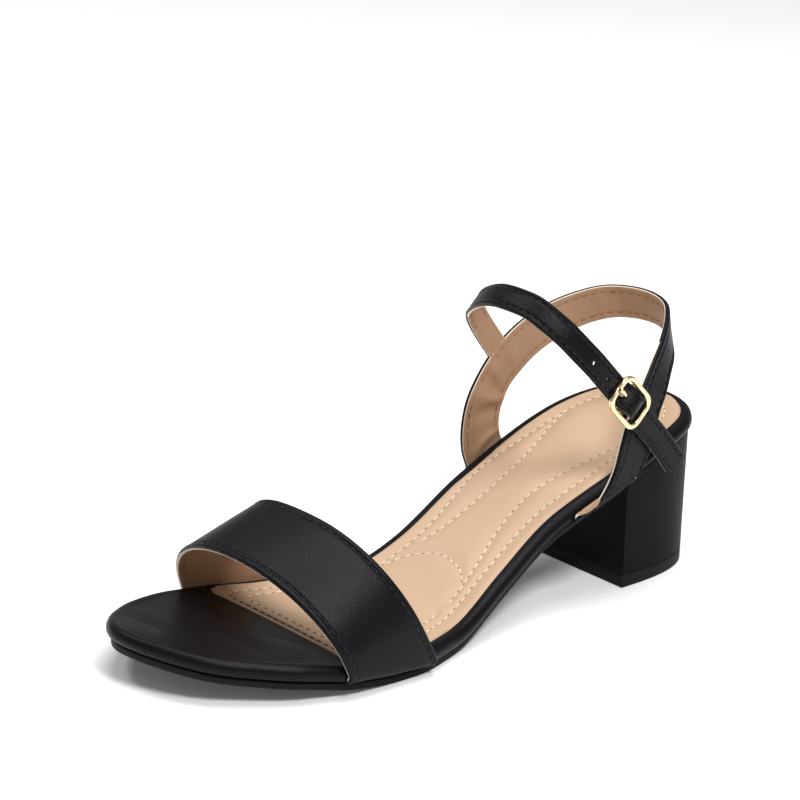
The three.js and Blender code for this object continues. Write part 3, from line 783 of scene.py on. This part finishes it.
# Sewn rows on the insole: share of the sole's length, and millimetres from its middle line to the outer side
sewnRows = {
    "innerLateral": [
        (0.16, 17), (0.178, 14.7), (0.25, 9.8), (0.31, 7.8), (0.359, 9.5),
        (0.399, 11.9), (0.442, 15.6), (0.49, 19.3), (0.52, 21.4),
    ],
    "innerMedial": [
        (0.15, -16.4), (0.185, -14.6), (0.22, -12), (0.266, -9.3),
        (0.335, -7), (0.386, -6.9), (0.424, -8.2), (0.45, -10),
    ],
    "ballPad": [
        (0.56, -21.5), (0.511, -14), (0.485, -9.8), (0.467, -4.1),
        (0.459, 1.5), (0.461, 6.6), (0.469, 13.1), (0.483, 17.5),
    ],
}
insoleRim = sole["rimWidth"] - insoleLook["sideGap"]
edgeTurns = math.pi * np.linspace(0, 1, 901)
insoleEdges = {side: outlinePoint(edgeTurns, side, insoleRim) for side in ("lateral", "medial")}


def insoleY(x, side):
    front = sole["insoleFront"] * shoeLength
    into = np.maximum(x - (front - sole["insoleCorner"]), 0)
    rounded = sole["insoleCorner"] - np.sqrt(np.maximum(sole["insoleCorner"] ** 2 - into**2, 0))
    edgeX, edge = insoleEdges[side]
    hand = 1 if side == "lateral" else -1
    return np.interp(x, edgeX, edge) - hand * rounded


# A sewn row that follows the insole's edge at one distance, nearer to it at the waist's inner side
def edgeRow(inset, start):
    back = sole["rimWidth"] + inset
    front = sole["insoleFront"] * shoeLength - inset + insoleLook["frontNearer"]
    first = max(back, start * shoeLength)
    x = first + (front - first) * (1 - np.cos(np.linspace(0, math.pi, 200))) / 2
    corner = insoleLook["rowCorner"]
    middle, long = insoleLook["waist"]
    sides = []
    for side, hand in (("lateral", 1), ("medial", -1)):
        edgeX, edge = outlinePoint(math.pi * np.linspace(0, 1, 600), side, sole["rimWidth"] + inset)
        y = np.interp(x, edgeX, edge)
        into = np.maximum(x - (front - corner), 0)
        y = y - hand * (corner - np.sqrt(np.maximum(corner**2 - into**2, 0)))
        if side == "medial":
            y = y - insoleLook["waistNearer"] * np.exp(-(((x / shoeLength - middle) / long) ** 2))
        sides.append(np.stack([x, y], -1))
    return np.vstack([sides[0], sides[1][::-1]])


def sewnLine(rows, samples=160):
    curve, _ = byLength(curveThrough([(share * shoeLength, y, 0) for share, y in rows]))
    return curve(np.linspace(0, 1, samples))[:, :2]


insoleLines = [edgeRow(*row) for row in insoleLook["edgeRows"]]
insoleLines += [sewnLine(rows) for rows in sewnRows.values()]


def distanceTo(line, x, y):
    shape = np.broadcast(x, y).shape
    points = np.stack([np.broadcast_to(x, shape).ravel(), np.broadcast_to(y, shape).ravel()], -1)
    best = np.full(len(points), 1e9)
    for start, end in zip(line[:-1], line[1:]):
        ab = end - start
        t = np.clip(((points - start) @ ab) / max(ab @ ab, 1e-9), 0, 1)
        best = np.minimum(best, ((points - start - t[:, None] * ab) ** 2).sum(1))
    return np.sqrt(best).reshape(shape)


def insoleHeight(x, y):
    look = insoleLook
    near = np.minimum.reduce([distanceTo(line, x, y) for line in insoleLines])
    channel = look["channelDepth"] * np.exp(-((near / look["channelWidth"]) ** 2))
    pad = look["pad"] * ease(near, *look["padReach"])
    return bedTop(x) + sole["insoleProud"] + pad - channel


def makeInsole():
    look = insoleLook
    front = sole["insoleFront"] * shoeLength
    x = insoleRim + (front - insoleRim) * (1 - np.cos(np.linspace(0, math.pi, look["rows"]))) / 2
    lateral, medial = insoleY(x, "lateral"), insoleY(x, "medial")
    shares = (1 - np.cos(np.linspace(0, math.pi, look["across"]))) / 2
    shares = 0.5 * shares + 0.5 * np.linspace(0, 1, look["across"])
    grid = np.zeros((len(x), len(shares), 3))
    grid[..., 0] = x[:, None]
    grid[..., 1] = medial[:, None] * (1 - shares) + lateral[:, None] * shares
    grid[..., 2] = insoleHeight(grid[..., 0], grid[..., 1])
    inset = np.minimum(grid[..., 1] - medial[:, None], lateral[:, None] - grid[..., 1])
    inset = np.minimum(inset, np.minimum(x - insoleRim, front - x)[:, None] * look["endShare"])
    grid[..., 2] -= look["edgeDrop"] * (1 - ease(inset, 0, look["edgeReach"]))
    under = grid[:, ::-1].copy()
    under[..., 2] = bedTop(under[..., 0]) - look["sunk"]
    loop = np.concatenate([grid, under[:, :: look["underStride"]], under[:, -1:], grid[:, :1]], 1)
    piece = sheetOver("insole_cover", loop, [finishes["insoleLeather"]], sharpAngle=70)
    finishPiece(piece, "tan_insole", "insole")


makeInsole()
print("insole made")


# Outsole: thin plate set in under the rim
outsoleLook = {
    "stations": 200,
    "across": 24,
    "breastGap": 0.6,
    "edgeRows": [(0.35, 0), (0.05, 0.1), (0, 0.3), (0, 0.75), (0.1, 0.92), (0.4, 1)],  # inward, share down
}


def makeOutsole():
    look = outsoleLook
    start = float(turnAt(sole["heelDepth"] + look["breastGap"]))
    turns = np.linspace(start, math.pi, look["stations"] + 1)
    rows = [(sole["outsoleInset"] + inward, down) for inward, down in look["edgeRows"]]
    loops = []

    def edgePoint(side, inward, down):
        x, y = outlinePoint(turns, side, inward)
        x = np.maximum(x, sole["heelDepth"] + look["breastGap"])
        return np.stack([x, y, soleUnder(x) + sole["outsoleThickness"] * (1 - down)], -1)

    for first, last, side in ((rows[0], rows[0], "top"), (rows[-1], rows[-1], "under")):
        a, b = ("medial", "lateral") if side == "top" else ("lateral", "medial")
        start, end = edgePoint(a, *first), edgePoint(b, *last)
        for share in np.linspace(0, 1, look["across"] + 1):
            loops.append(start * (1 - share) + end * share)
        if side == "top":
            loops.extend(edgePoint("lateral", *row) for row in rows[1:-1])
    loops.extend(edgePoint("medial", *row) for row in rows[-2:0:-1])
    loops.append(loops[0])
    piece = sheetOver("outsole_plate", np.stack(loops, 1), [finishes["rubber"]])
    finishPiece(piece, "black_rubber", "outsole")


makeOutsole()
print("outsole made")


# Heel: leather-wrapped block and its rubber tip
heelLook = {
    "topInset": 1,
    "baseInset": 0.2,
    "baseBack": 3,
    "roundness": 2.86,
    "tip": 4.8,
    "seam": 0.45,  # groove between the block and the tip
    "topRound": 1.2,
    "middle": 0.55,  # share of its depth that its walls move towards
    "sideSteps": 48,
    "breastSteps": 15,
    "rise": 14,
    "tipTop": [(0.5, 0.02), (0.1, 0.3), (0, 0.7)],  # inward, and down from the tip's top
    "tipFoot": [(0, 0.45), (0.15, 0.12), (0.5, 0)],  # inward, and up from the floor
}


def heelTopOutline(shares, side):
    x, y = outlinePoint(turnAt(sole["heelDepth"]) * shares, side, heelLook["topInset"])
    return np.minimum(x, sole["heelDepth"]), y


def heelBaseOutline(shares, side):
    look = heelLook
    turn = math.pi / 2 * shares
    hand = 1 if side == "lateral" else -1
    depth = sole["heelDepth"] - look["baseBack"]
    x = sole["heelDepth"] - depth * np.cos(turn) ** (2 / look["roundness"])
    y = hand * (sole["seatWidth"] / 2 - look["baseInset"]) * np.sin(turn) ** (2 / look["roundness"])
    return x, y


# One ring of the heel's wall: between the top and base outlines by share, moved inward, at height(x)
def heelRing(topShare, inward, height):
    look = heelLook
    shares = np.linspace(0, 1, look["sideSteps"] + 1)
    points = []
    for side, order in (("lateral", slice(None)), ("medial", slice(None, None, -1))):
        topX, topY = heelTopOutline(shares, side)
        baseX, baseY = heelBaseOutline(shares, side)
        x = topX * topShare + baseX * (1 - topShare)
        y = topY * topShare + baseY * (1 - topShare)
        centre = np.array([sole["heelDepth"] * look["middle"], 0])
        away = np.stack([x, y], -1) - centre
        scale = 1 - inward / np.maximum(np.linalg.norm(away, axis=1), 1e-6)
        flat = centre + away * scale[:, None]
        z = np.broadcast_to(height(flat[:, 0]), x.shape)
        points.append(np.stack([flat[:, 0], flat[:, 1], z], -1)[order])
    breast = np.linspace(0, 1, look["breastSteps"] + 1)[1:-1, None]
    front = points[0][-1] * (1 - breast) + points[1][0] * breast
    return np.vstack([points[0], front, points[1]])


def heelTop(x):
    return bedUnder(x) - sole["gap"]


def makeHeel():
    look = heelLook
    tip = look["tip"]
    low = tip + 0.05  # a little over the tip, the groove between them 0.15 mm lower
    rings = [heelRing(1, look["topRound"], lambda x: heelTop(x) + 0.05)]
    for share in np.linspace(1, 0, look["rise"] + 1):
        rings.append(heelRing(share, 0, lambda x: low + (heelTop(x) - low) * share))
    rings.append(heelRing(0, look["seam"], lambda x: low - 0.15))
    piece = sheetOver("heel_block", np.stack(rings, 0), [finishes["heelLeather"]], sharpAngle=35)
    finishPiece(piece, "black_leather", "heel")
    levels = [(inward, tip - down) for inward, down in look["tipTop"]] + look["tipFoot"]
    rings = [heelRing(0, inward, lambda x: level) for inward, level in levels]
    piece = sheetOver("heel_tip_rubber", np.stack(rings, 0), [finishes["rubber"]], sharpAngle=35)
    finishPiece(piece, "black_rubber", "heel_tip")


makeHeel()
print("heel made")

# Straps: "sewn" is how far the rows lie from the edges, and "span" the stretch that a row runs along
strapPieces = {
    "front": {
        "at": frontStrapAt,
        "node": "front_strap",
        "steps": 230,
        "thickness": straps["thickness"],
        "outer": -1,
        "crown": 0.2,
        "sewn": 2.4,
        "pale": (0, 1),
        "plainEnds": 0.13,
        "thread": {"long": 2.5, "pitch": 3.3, "thick": 0.55, "sunk": 0.2, "span": (0.17, 0.83)},
        "liningThread": {"long": 2.3, "pitch": 3.3, "thick": 0.5, "sunk": 0.1, "span": (0.2, 0.8)},
        "creases": table(
            "x y turn long wide depth bow",
            [
                (96, 20, 95, 12, 2.2, 0.3, 2),
                (110, 15, 80, 10, 2, 0.3, -2),
            ],
        ),
    },
    "back": {
        "at": backStrapAt,
        "node": "back_and_ankle_strap",
        "steps": 340,
        "thickness": straps["thickness"],
        "outer": -1,
        "crown": 0.1,
        "sewn": 2.4,
        "pale": (0, 0.4),
        "plainEnds": 0.125,
        "thread": {"long": 2.5, "pitch": 3.3, "thick": 0.55, "sunk": 0.2, "span": (0.15, 0.85)},
        "liningThread": {"long": 2.3, "pitch": 3.3, "thick": 0.5, "sunk": 0.1, "span": (0.2, 0.81)},
        "creases": table(
            "x y turn long wide depth bow",
            [
                (166, 6.5, 68, 6.5, 1.7, 0.8, 1.5),
                (169.5, 9, 75, 6, 1.6, -0.7, 1),
                (175, 9, 92, 8, 2, 1.1, -2),
                (180, 10, 100, 7, 2.2, -0.8, -1),
                (190, 11, 105, 7, 1.9, 0.9, 1.5),
                (158, 9, 80, 5, 1.8, 0.5, 0),
                (119, 6.5, 88, 5, 1.6, 0.35, 0),
                (112, 7, 95, 5, 1.8, -0.3, 0),
                (104, 6, 85, 5, 1.5, 0.3, 0),
            ],
        ),
    },
    "ankle": {
        "at": ankleStrapAt,
        "node": "back_and_ankle_strap",
        "steps": 340,
        "thickness": straps["ankleThickness"],
        "outer": 1,
        "crown": 0.08,
        "sewn": 1.75,
        "pale": (0.2, 1),
        "plainEnds": 0,
        "thread": {"long": 2.3, "pitch": 3.1, "thick": 0.5, "sunk": 0.2, "span": (0.13, 0.985)},
        "liningThread": {"long": 2.2, "pitch": 3.1, "thick": 0.45, "sunk": 0.1, "span": (0.13, 0.985)},
        "creases": [],
    },
}
holeLook = {"pitches": (-2, -1, 0, 1), "inUse": 0, "stretched": 1.15, "sides": 24, "depth": 7}


# Punches the ankle strap's holes, counted in pitches from the one that the prong is in
def punchHoles(piece):
    holes = []
    for pitches in holeLook["pitches"]:
        u = np.array([buckle["at"] + (pitches * buckle["holePitch"] - buckle["prongHole"]) / ankleLength])
        place, _, _, normal = (v[0] for v in strapFrame(ankleStrapAt, u, np.array([0.5])))
        size = buckle["hole"] * (holeLook["stretched"] if pitches == holeLook["inUse"] else 1) * mm
        deep, sides = holeLook["depth"] * mm, holeLook["sides"]
        bpy.ops.mesh.primitive_cylinder_add(vertices=sides, radius=size / 2, depth=deep, location=toMetres(place))
        punch = bpy.context.object
        punch.rotation_euler = Vector(normal).to_track_quat("Z", "Y").to_euler()
        holes.append(punch)
    cutAway(piece, holes)
    activate(piece)
    bpy.ops.object.shade_smooth_by_angle(angle=math.radians(50))


for key, strap in strapPieces.items():
    piece = strapPiece(f"{key}_strap_leather", strap)
    if key == "ankle":
        punchHoles(piece)
    finishPiece(piece, "black_leather", strap["node"])
print("straps made")

# Buckle: places given in its own axes, x along the strap, y up its width, z outward
bucklePlace, buckleAlong, buckleUp, buckleOut = (v[0] for v in ankleFrame(np.array([buckle["at"]])))
bucklePlace = bucklePlace + buckleOut * frameHeight


def atBuckle(points):
    x, y, z = (np.asarray(points, float)[..., n : n + 1] for n in range(3))
    return bucklePlace + x * buckleAlong + y * buckleUp + z * buckleOut


# A rod swept along a closed or open path in the buckle's axes, its section's height turned towards lead
def rodAlong(name, path, section, closed=False, power=1.0, lead=(0, 0, 1), sides=24):
    path = np.asarray(path, float)
    if closed:
        ahead, behind = np.roll(path, -1, 0), np.roll(path, 1, 0)
    else:
        ahead = np.vstack([path[1:], 2 * path[-1:] - path[-2:-1]])
        behind = np.vstack([2 * path[:1] - path[1:2], path[:-1]])
    along = unit(ahead - behind)
    side = unit(np.cross(np.array(lead, float), along))
    up = np.cross(along, side)
    turns = np.linspace(0, 2 * math.pi, sides + 1)
    across, over = (np.sign(wave) * np.abs(wave) ** power / 2 for wave in (np.cos(turns), np.sin(turns)))
    rings = []
    for n in range(len(path)):
        wide, high = section(n / (len(path) - 1))
        rings.append(path[n] + across[:, None] * wide * side[n] + over[:, None] * high * up[n])
    if closed:
        rings.append(rings[0])
    return sheetOver(name, atBuckle(np.stack(rings, 0)), [finishes["gold"]], sharpAngle=40)


def roundedRectangle(length, width, corner, bulge, steps=12, spacing=0.4):
    points = []
    for sx, sy, startAngle in ((1, -1, -90), (1, 1, 0), (-1, 1, 90), (-1, -1, 180)):
        cx, cy = sx * (length / 2 - corner), sy * (width / 2 - corner)
        for i in range(steps + 1):
            angle = math.radians(startAngle + 90 * i / steps)
            points.append((cx + corner * math.cos(angle), cy + corner * math.sin(angle), 0))
    points = np.array(points)
    dense = []
    for start, end in zip(points, np.roll(points, -1, 0)):
        count = max(int(np.linalg.norm(end - start) / spacing), 1)
        dense += [start + (end - start) * i / count for i in range(count)]
    dense = np.array(dense)
    dense[:, 0] *= 1 + bulge * (1 - (2 * dense[:, 1] / width) ** 2)
    dense[:, 1] *= 1 + bulge * (1 - (2 * dense[:, 0] / length) ** 2)
    return dense


def makeBuckle():
    bar, prong, drop = buckle["bar"], buckle["prong"], buckle["drop"]
    width = straps["ankleWidth"] + 2 * (buckle["sideGap"] + bar)
    path = roundedRectangle(buckle["length"] - bar, width - bar, buckle["corner"] - bar / 2, buckle["bulge"])
    onFront = np.exp(-((path[:, 1] / buckle["notchWidth"]) ** 2)) * (path[:, 0] < -buckle["length"] / 4)
    path[:, 2] -= buckle["notch"] * onFront
    section = (bar * buckle["flatness"], bar)
    ring = rodAlong("buckle_frame", path, lambda share: section, closed=True, power=buckle["squareness"])
    finishPiece(ring, "pale_gold", "buckle")
    reach = width / 2 - bar * 0.6  # into the frame's sides
    barPath = [(0, y, -drop) for y in np.linspace(-reach, reach, 12)]
    finishPiece(rodAlong("buckle_bar", barPath, lambda share: (bar, bar)), "pale_gold", "buckle")

    def tapered(share):
        into = max((share - buckle["prongTip"]) / (1 - buckle["prongTip"]), 0)
        tip = math.sqrt(max(1 - into**2, 0.04))
        return [prong * part * tip for part in buckle["prongSection"]]

    eye = bar / 2 + sole["gap"] + prong / 2
    hole = -buckle["prongHole"]
    tonguePath = [
        (-1.1, 0, eye - drop - 0.9),  # at the eye
        (hole + 1.3, 0, 0.2),
        (hole + 0.2, 0, 1.05),  # up through the hole
        (hole - 1.2, 0, 1.35),
        (-barPitch * 0.92, 0, eye - 0.15),
        (-barPitch - bar * 0.5, 0, eye - 0.35),  # its tip on the frame
    ]
    tonguePath = curveThrough(tonguePath)(np.linspace(0, 1, 30))
    finishPiece(rodAlong("buckle_prong_tongue", tonguePath, tapered), "pale_gold", "buckle_prong")
    turns = np.linspace(0, 2 * math.pi, 33)[:-1]
    eyePath = np.stack([eye * np.cos(turns), 0 * turns, eye * np.sin(turns) - drop], -1)
    ring = rodAlong(
        "buckle_prong_eye", eyePath, lambda share: (prong, prong), closed=True, lead=(0, 1, 0), sides=16
    )
    finishPiece(ring, "pale_gold", "buckle_prong")


# Tab: a leather loop round the centre bar, sewn into the heel strap under the ankle strap
tabLook = {
    # Points of its path, along the strap and out from the centre bar
    "upper": [(11, -3.35), (7.5, -3.0), (4.6, -2.4), (2.6, -1.1)],
    "loop": 1.55,
    "loopTurns": (0, 45, 90, 135, 180, 225, 265),
    "lower": [(1.6, -2.05), (4.6, -3.1), (7.5, -3.6), (11, -4.0)],
    "steps": 90,
    "width": 8,
    "half": 0.3,  # half of one layer's thickness
    "edge": [(0, 0), (0.15, 0.8), (0.4, 1)],  # in from the side, and share of that half
    "slot": (6, 2.1, 8),
    "slotAt": -0.9,
}


def makeTab():
    look, low = tabLook, -buckle["drop"]
    turns = [math.radians(angle) for angle in look["loopTurns"]]
    loop = [(look["loop"] * math.cos(turn), look["loop"] * math.sin(turn)) for turn in turns]
    path = [(x, 0, z + low) for x, z in look["upper"] + loop + look["lower"]]
    line = byLength(curveThrough(path))[0](np.linspace(0, 1, look["steps"]))
    side = unit(np.cross(np.gradient(line, axis=0), np.array([0, 1.0, 0])))
    wide = look["width"] / 2
    outline = [(-wide + inward, height) for inward, height in look["edge"]]
    outline += [(y, 1) for y in np.linspace(-wide + 1, wide - 1, 7)]
    outline += [(wide - inward, height) for inward, height in look["edge"][::-1]]
    outline += [(y, -height) for y, height in outline[-2:0:-1]]
    outline.append(outline[0])
    rings = [line + side * look["half"] * height + np.array([0, y, 0]) for y, height in outline]
    tab = sheetOver("buckle_tab", atBuckle(np.stack(rings, 1)), [finishes["blackLeather"]])
    bpy.ops.mesh.primitive_cube_add(size=1)
    slot = bpy.context.object
    axes = Matrix((Vector(buckleAlong), Vector(buckleUp), Vector(buckleOut))).transposed().to_4x4()
    axes.translation = Vector(toMetres(atBuckle(np.array([look["slotAt"], 0, low]))))
    slot.matrix_world = axes @ Matrix.Diagonal((*[size * mm for size in look["slot"]], 1))
    bpy.context.view_layer.update()
    cutAway(tab, [slot])
    finishPiece(tab, "black_leather", "back_and_ankle_strap")


makeBuckle()
makeTab()
print("buckle made")

# Stitches: one small pill, repeated along each sewn row as one mesh
insoleThread = {"long": 2.3, "pitch": 3.5, "thick": 0.55, "flat": 0.8}
# Needle holes: flat dark brown pills between the insole's dashes, painted shade in place of cut holes
holeShadeSize = (0.95, 0.45, 0.2)
rowSamples = 500
bpy.ops.mesh.primitive_uv_sphere_add(segments=8, ring_count=6, radius=0.5)
pill = bpy.context.object
pillPoints = np.array([list(vertex.co) for vertex in pill.data.vertices])[:, [2, 0, 1]]
pillFaces = [list(face.vertices) for face in pill.data.polygons]
bpy.data.objects.remove(pill)


def repeated(name, rows, size, finish):
    places, alongs, normals = (np.vstack([row[n] for row in rows]) for n in range(3))
    side = unit(np.cross(normals, alongs))
    points = (
        places[:, None]
        + alongs[:, None] * pillPoints[None, :, :1] * size[0]
        + side[:, None] * pillPoints[None, :, 1:2] * size[1]
        + normals[:, None] * pillPoints[None, :, 2:] * size[2]
    )
    mesh = bpy.data.meshes.new(name)
    count = len(pillPoints)
    faces = [[index + count * n for index in face] for n in range(len(places)) for face in pillFaces]
    mesh.from_pydata(toMetres(points.reshape(-1, 3)).tolist(), [], faces)
    mesh.materials.append(finishes[finish])
    piece = bpy.data.objects.new(name, mesh)
    bpy.context.scene.collection.objects.link(piece)
    activate(piece)
    bpy.ops.object.mode_set(mode="EDIT")
    bpy.ops.mesh.select_all(action="SELECT")
    bpy.ops.mesh.normals_make_consistent(inside=False)
    bpy.ops.object.mode_set(mode="OBJECT")
    bpy.ops.object.shade_smooth()
    return piece


# Even places along a line of points with normals: each place, the way the line runs there and the normal
def evenPlaces(line, normals, pitch, start=0.0, reach=0.4):
    lengths = np.concatenate([[0], np.cumsum(np.linalg.norm(np.diff(line, axis=0), axis=1))])
    at = np.arange(start + pitch / 2, lengths[-1], pitch)

    def read(values, shares):
        return np.stack([np.interp(shares, lengths, values[:, k]) for k in range(3)], -1)

    return read(line, at), unit(read(line, at + reach) - read(line, at - reach)), unit(read(normals, at))


# A strap's two sewn rows, on its outer face or, with face -1, on its lining
def strapStitches(name, strap, thread, finish, face):
    u = np.linspace(*thread["span"], rowSamples)
    pointAt = strap["at"]
    widths = np.linalg.norm(pointAt(u, np.ones(rowSamples)) - pointAt(u, np.zeros(rowSamples)), axis=1)
    share = strap["sewn"] / widths
    rows = []
    for v in (share, 1 - share):
        place, _, _, normal = strapFrame(pointAt, u, v)
        facing = normal * strap["outer"] * face
        swell = strap["crown"] * (face > 0) * (1 - (2 * v - 1) ** 2)
        lift = strap["thickness"] / 2 + swell - thread["sunk"]
        rows.append(evenPlaces(place + facing * lift[:, None], facing, thread["pitch"]))
    return repeated(name, rows, (thread["long"], thread["thick"], thread["thick"]), finish)


def makeStitches():
    for key, strap in strapPieces.items():
        row = strapStitches(f"{key}_strap_stitches", strap, strap["thread"], "blackThread", 1)
        finishPiece(row, "black_leather")
    for key, strap in strapPieces.items():
        row = strapStitches(f"{key}_lining_stitches", strap, strap["liningThread"], "tanThread", -1)
        finishPiece(row, "tan_insole")
    thread = insoleThread
    dashes, holeShades = [], []
    for line in insoleLines:
        x, y = line[:, 0], line[:, 1]
        slope = insoleHeight(x + 0.5, y) - insoleHeight(x - 0.5, y)  # over 1 mm
        normals = unit(np.stack([-slope, 0 * x, 0 * x + 1], -1))
        points = np.stack([x, y, insoleHeight(x, y)], -1)
        dashes.append(evenPlaces(points, normals, thread["pitch"]))
        # Places of the painted hole shade, halfway between the dashes
        holeShades.append(evenPlaces(points, normals, thread["pitch"], start=thread["pitch"] / 2))
    size = (thread["long"], thread["thick"], thread["thick"] * thread["flat"])
    finishPiece(repeated("insole_stitches", dashes, size, "paleThread"), "tan_insole")
    finishPiece(repeated("insole_painted_hole_shade", holeShades, holeShadeSize, "holeBrown"), "tan_insole")


makeStitches()
print("stitches made")

# Camera: place in millimetres, angles in degrees, lens and sensor in millimetres
view = {
    "place": (730.6, 694.1, 398.0),
    "turn": 47.77,
    "rise": 19.03,
    "roll": 2.51,
    "lens": 140.58,
    "sensor": 36,
    "clip": (0.05, 20),
}


def makeCamera():
    turn, rise, roll = (math.radians(view[key]) for key in ("turn", "rise", "roll"))
    back = Vector((math.cos(turn) * math.cos(rise), math.sin(turn) * math.cos(rise), math.sin(rise)))
    right = Vector((-math.sin(turn), math.cos(turn), 0))
    up = back.cross(right)
    across = right * math.cos(roll) + up * math.sin(roll)
    upright = up * math.cos(roll) - right * math.sin(roll)
    data = bpy.data.cameras.new("camera")
    data.lens = view["lens"]
    data.sensor_width = view["sensor"]
    data.clip_start, data.clip_end = view["clip"]
    camera = bpy.data.objects.new("camera", data)
    place = Matrix((across, upright, back)).transposed().to_4x4()
    place.translation = Vector(view["place"]) * mm
    camera.matrix_world = place
    bpy.context.scene.collection.objects.link(camera)
    bpy.context.scene.camera = camera


floorLook = {"size": 12, "greys": (0.95, 0.96), "scale": 3, "roughness": 0.9, "specular": 0.1, "glow": 0.05}


def makeFloor():
    look = floorLook
    bpy.ops.mesh.primitive_plane_add(size=look["size"], location=(0, 0, 0))
    floor = bpy.context.object
    floor.name = "floor"
    material = bpy.data.materials.new("paleFloor")
    material.use_nodes = True
    nodes, links = material.node_tree.nodes, material.node_tree.links
    shader = nodes["Principled BSDF"]
    shader.inputs["Roughness"].default_value = look["roughness"]
    shader.inputs["Specular IOR Level"].default_value = look["specular"]
    noise = nodes.new("ShaderNodeTexNoise")
    noise.inputs["Scale"].default_value = look["scale"]
    mix = nodes.new("ShaderNodeMix")
    mix.data_type = "RGBA"
    for socket, grey in zip("AB", look["greys"]):
        mix.inputs[socket].default_value = (grey, grey, grey, 1)
    links.new(noise.outputs["Fac"], mix.inputs["Factor"])
    links.new(mix.outputs["Result"], shader.inputs["Base Color"])
    shader.inputs["Emission Color"].default_value = (1, 1, 1, 1)
    shader.inputs["Emission Strength"].default_value = look["glow"]
    floor.data.materials.append(material)


# Soft lights: place and aim in metres, size in metres, power in watts
lights = {
    "key": {"at": (0.25, 0.9, 1.3), "aim": (0.08, 0, 0.03), "size": 0.42, "power": 16},
    "top": {"at": (0, -0.05, 1.5), "aim": (0.05, 0, 0), "size": 0.9, "power": 15},
    "toe": {"at": (0.5, -0.8, 1.2), "aim": (0.12, 0, 0.02), "size": 0.4, "power": 5},
}
skyStrength = 0.3


def makeLights():
    for name, look in lights.items():
        data = bpy.data.lights.new(name, "AREA")
        data.size = look["size"]
        data.energy = look["power"]
        lamp = bpy.data.objects.new(name, data)
        place = Vector(look["at"])
        lamp.location = place
        lamp.rotation_euler = (Vector(look["aim"]) - place).to_track_quat("-Z", "Y").to_euler()
        bpy.context.scene.collection.objects.link(lamp)
    world = bpy.data.worlds.new("studio")
    world.use_nodes = True
    sky = world.node_tree.nodes["Background"]
    sky.inputs["Color"].default_value = (1, 1, 1, 1)
    sky.inputs["Strength"].default_value = skyStrength
    bpy.context.scene.world = world
    bpy.context.scene.view_settings.view_transform = "Standard"


makeCamera()
makeFloor()
makeLights()
print("floor, light and camera made")
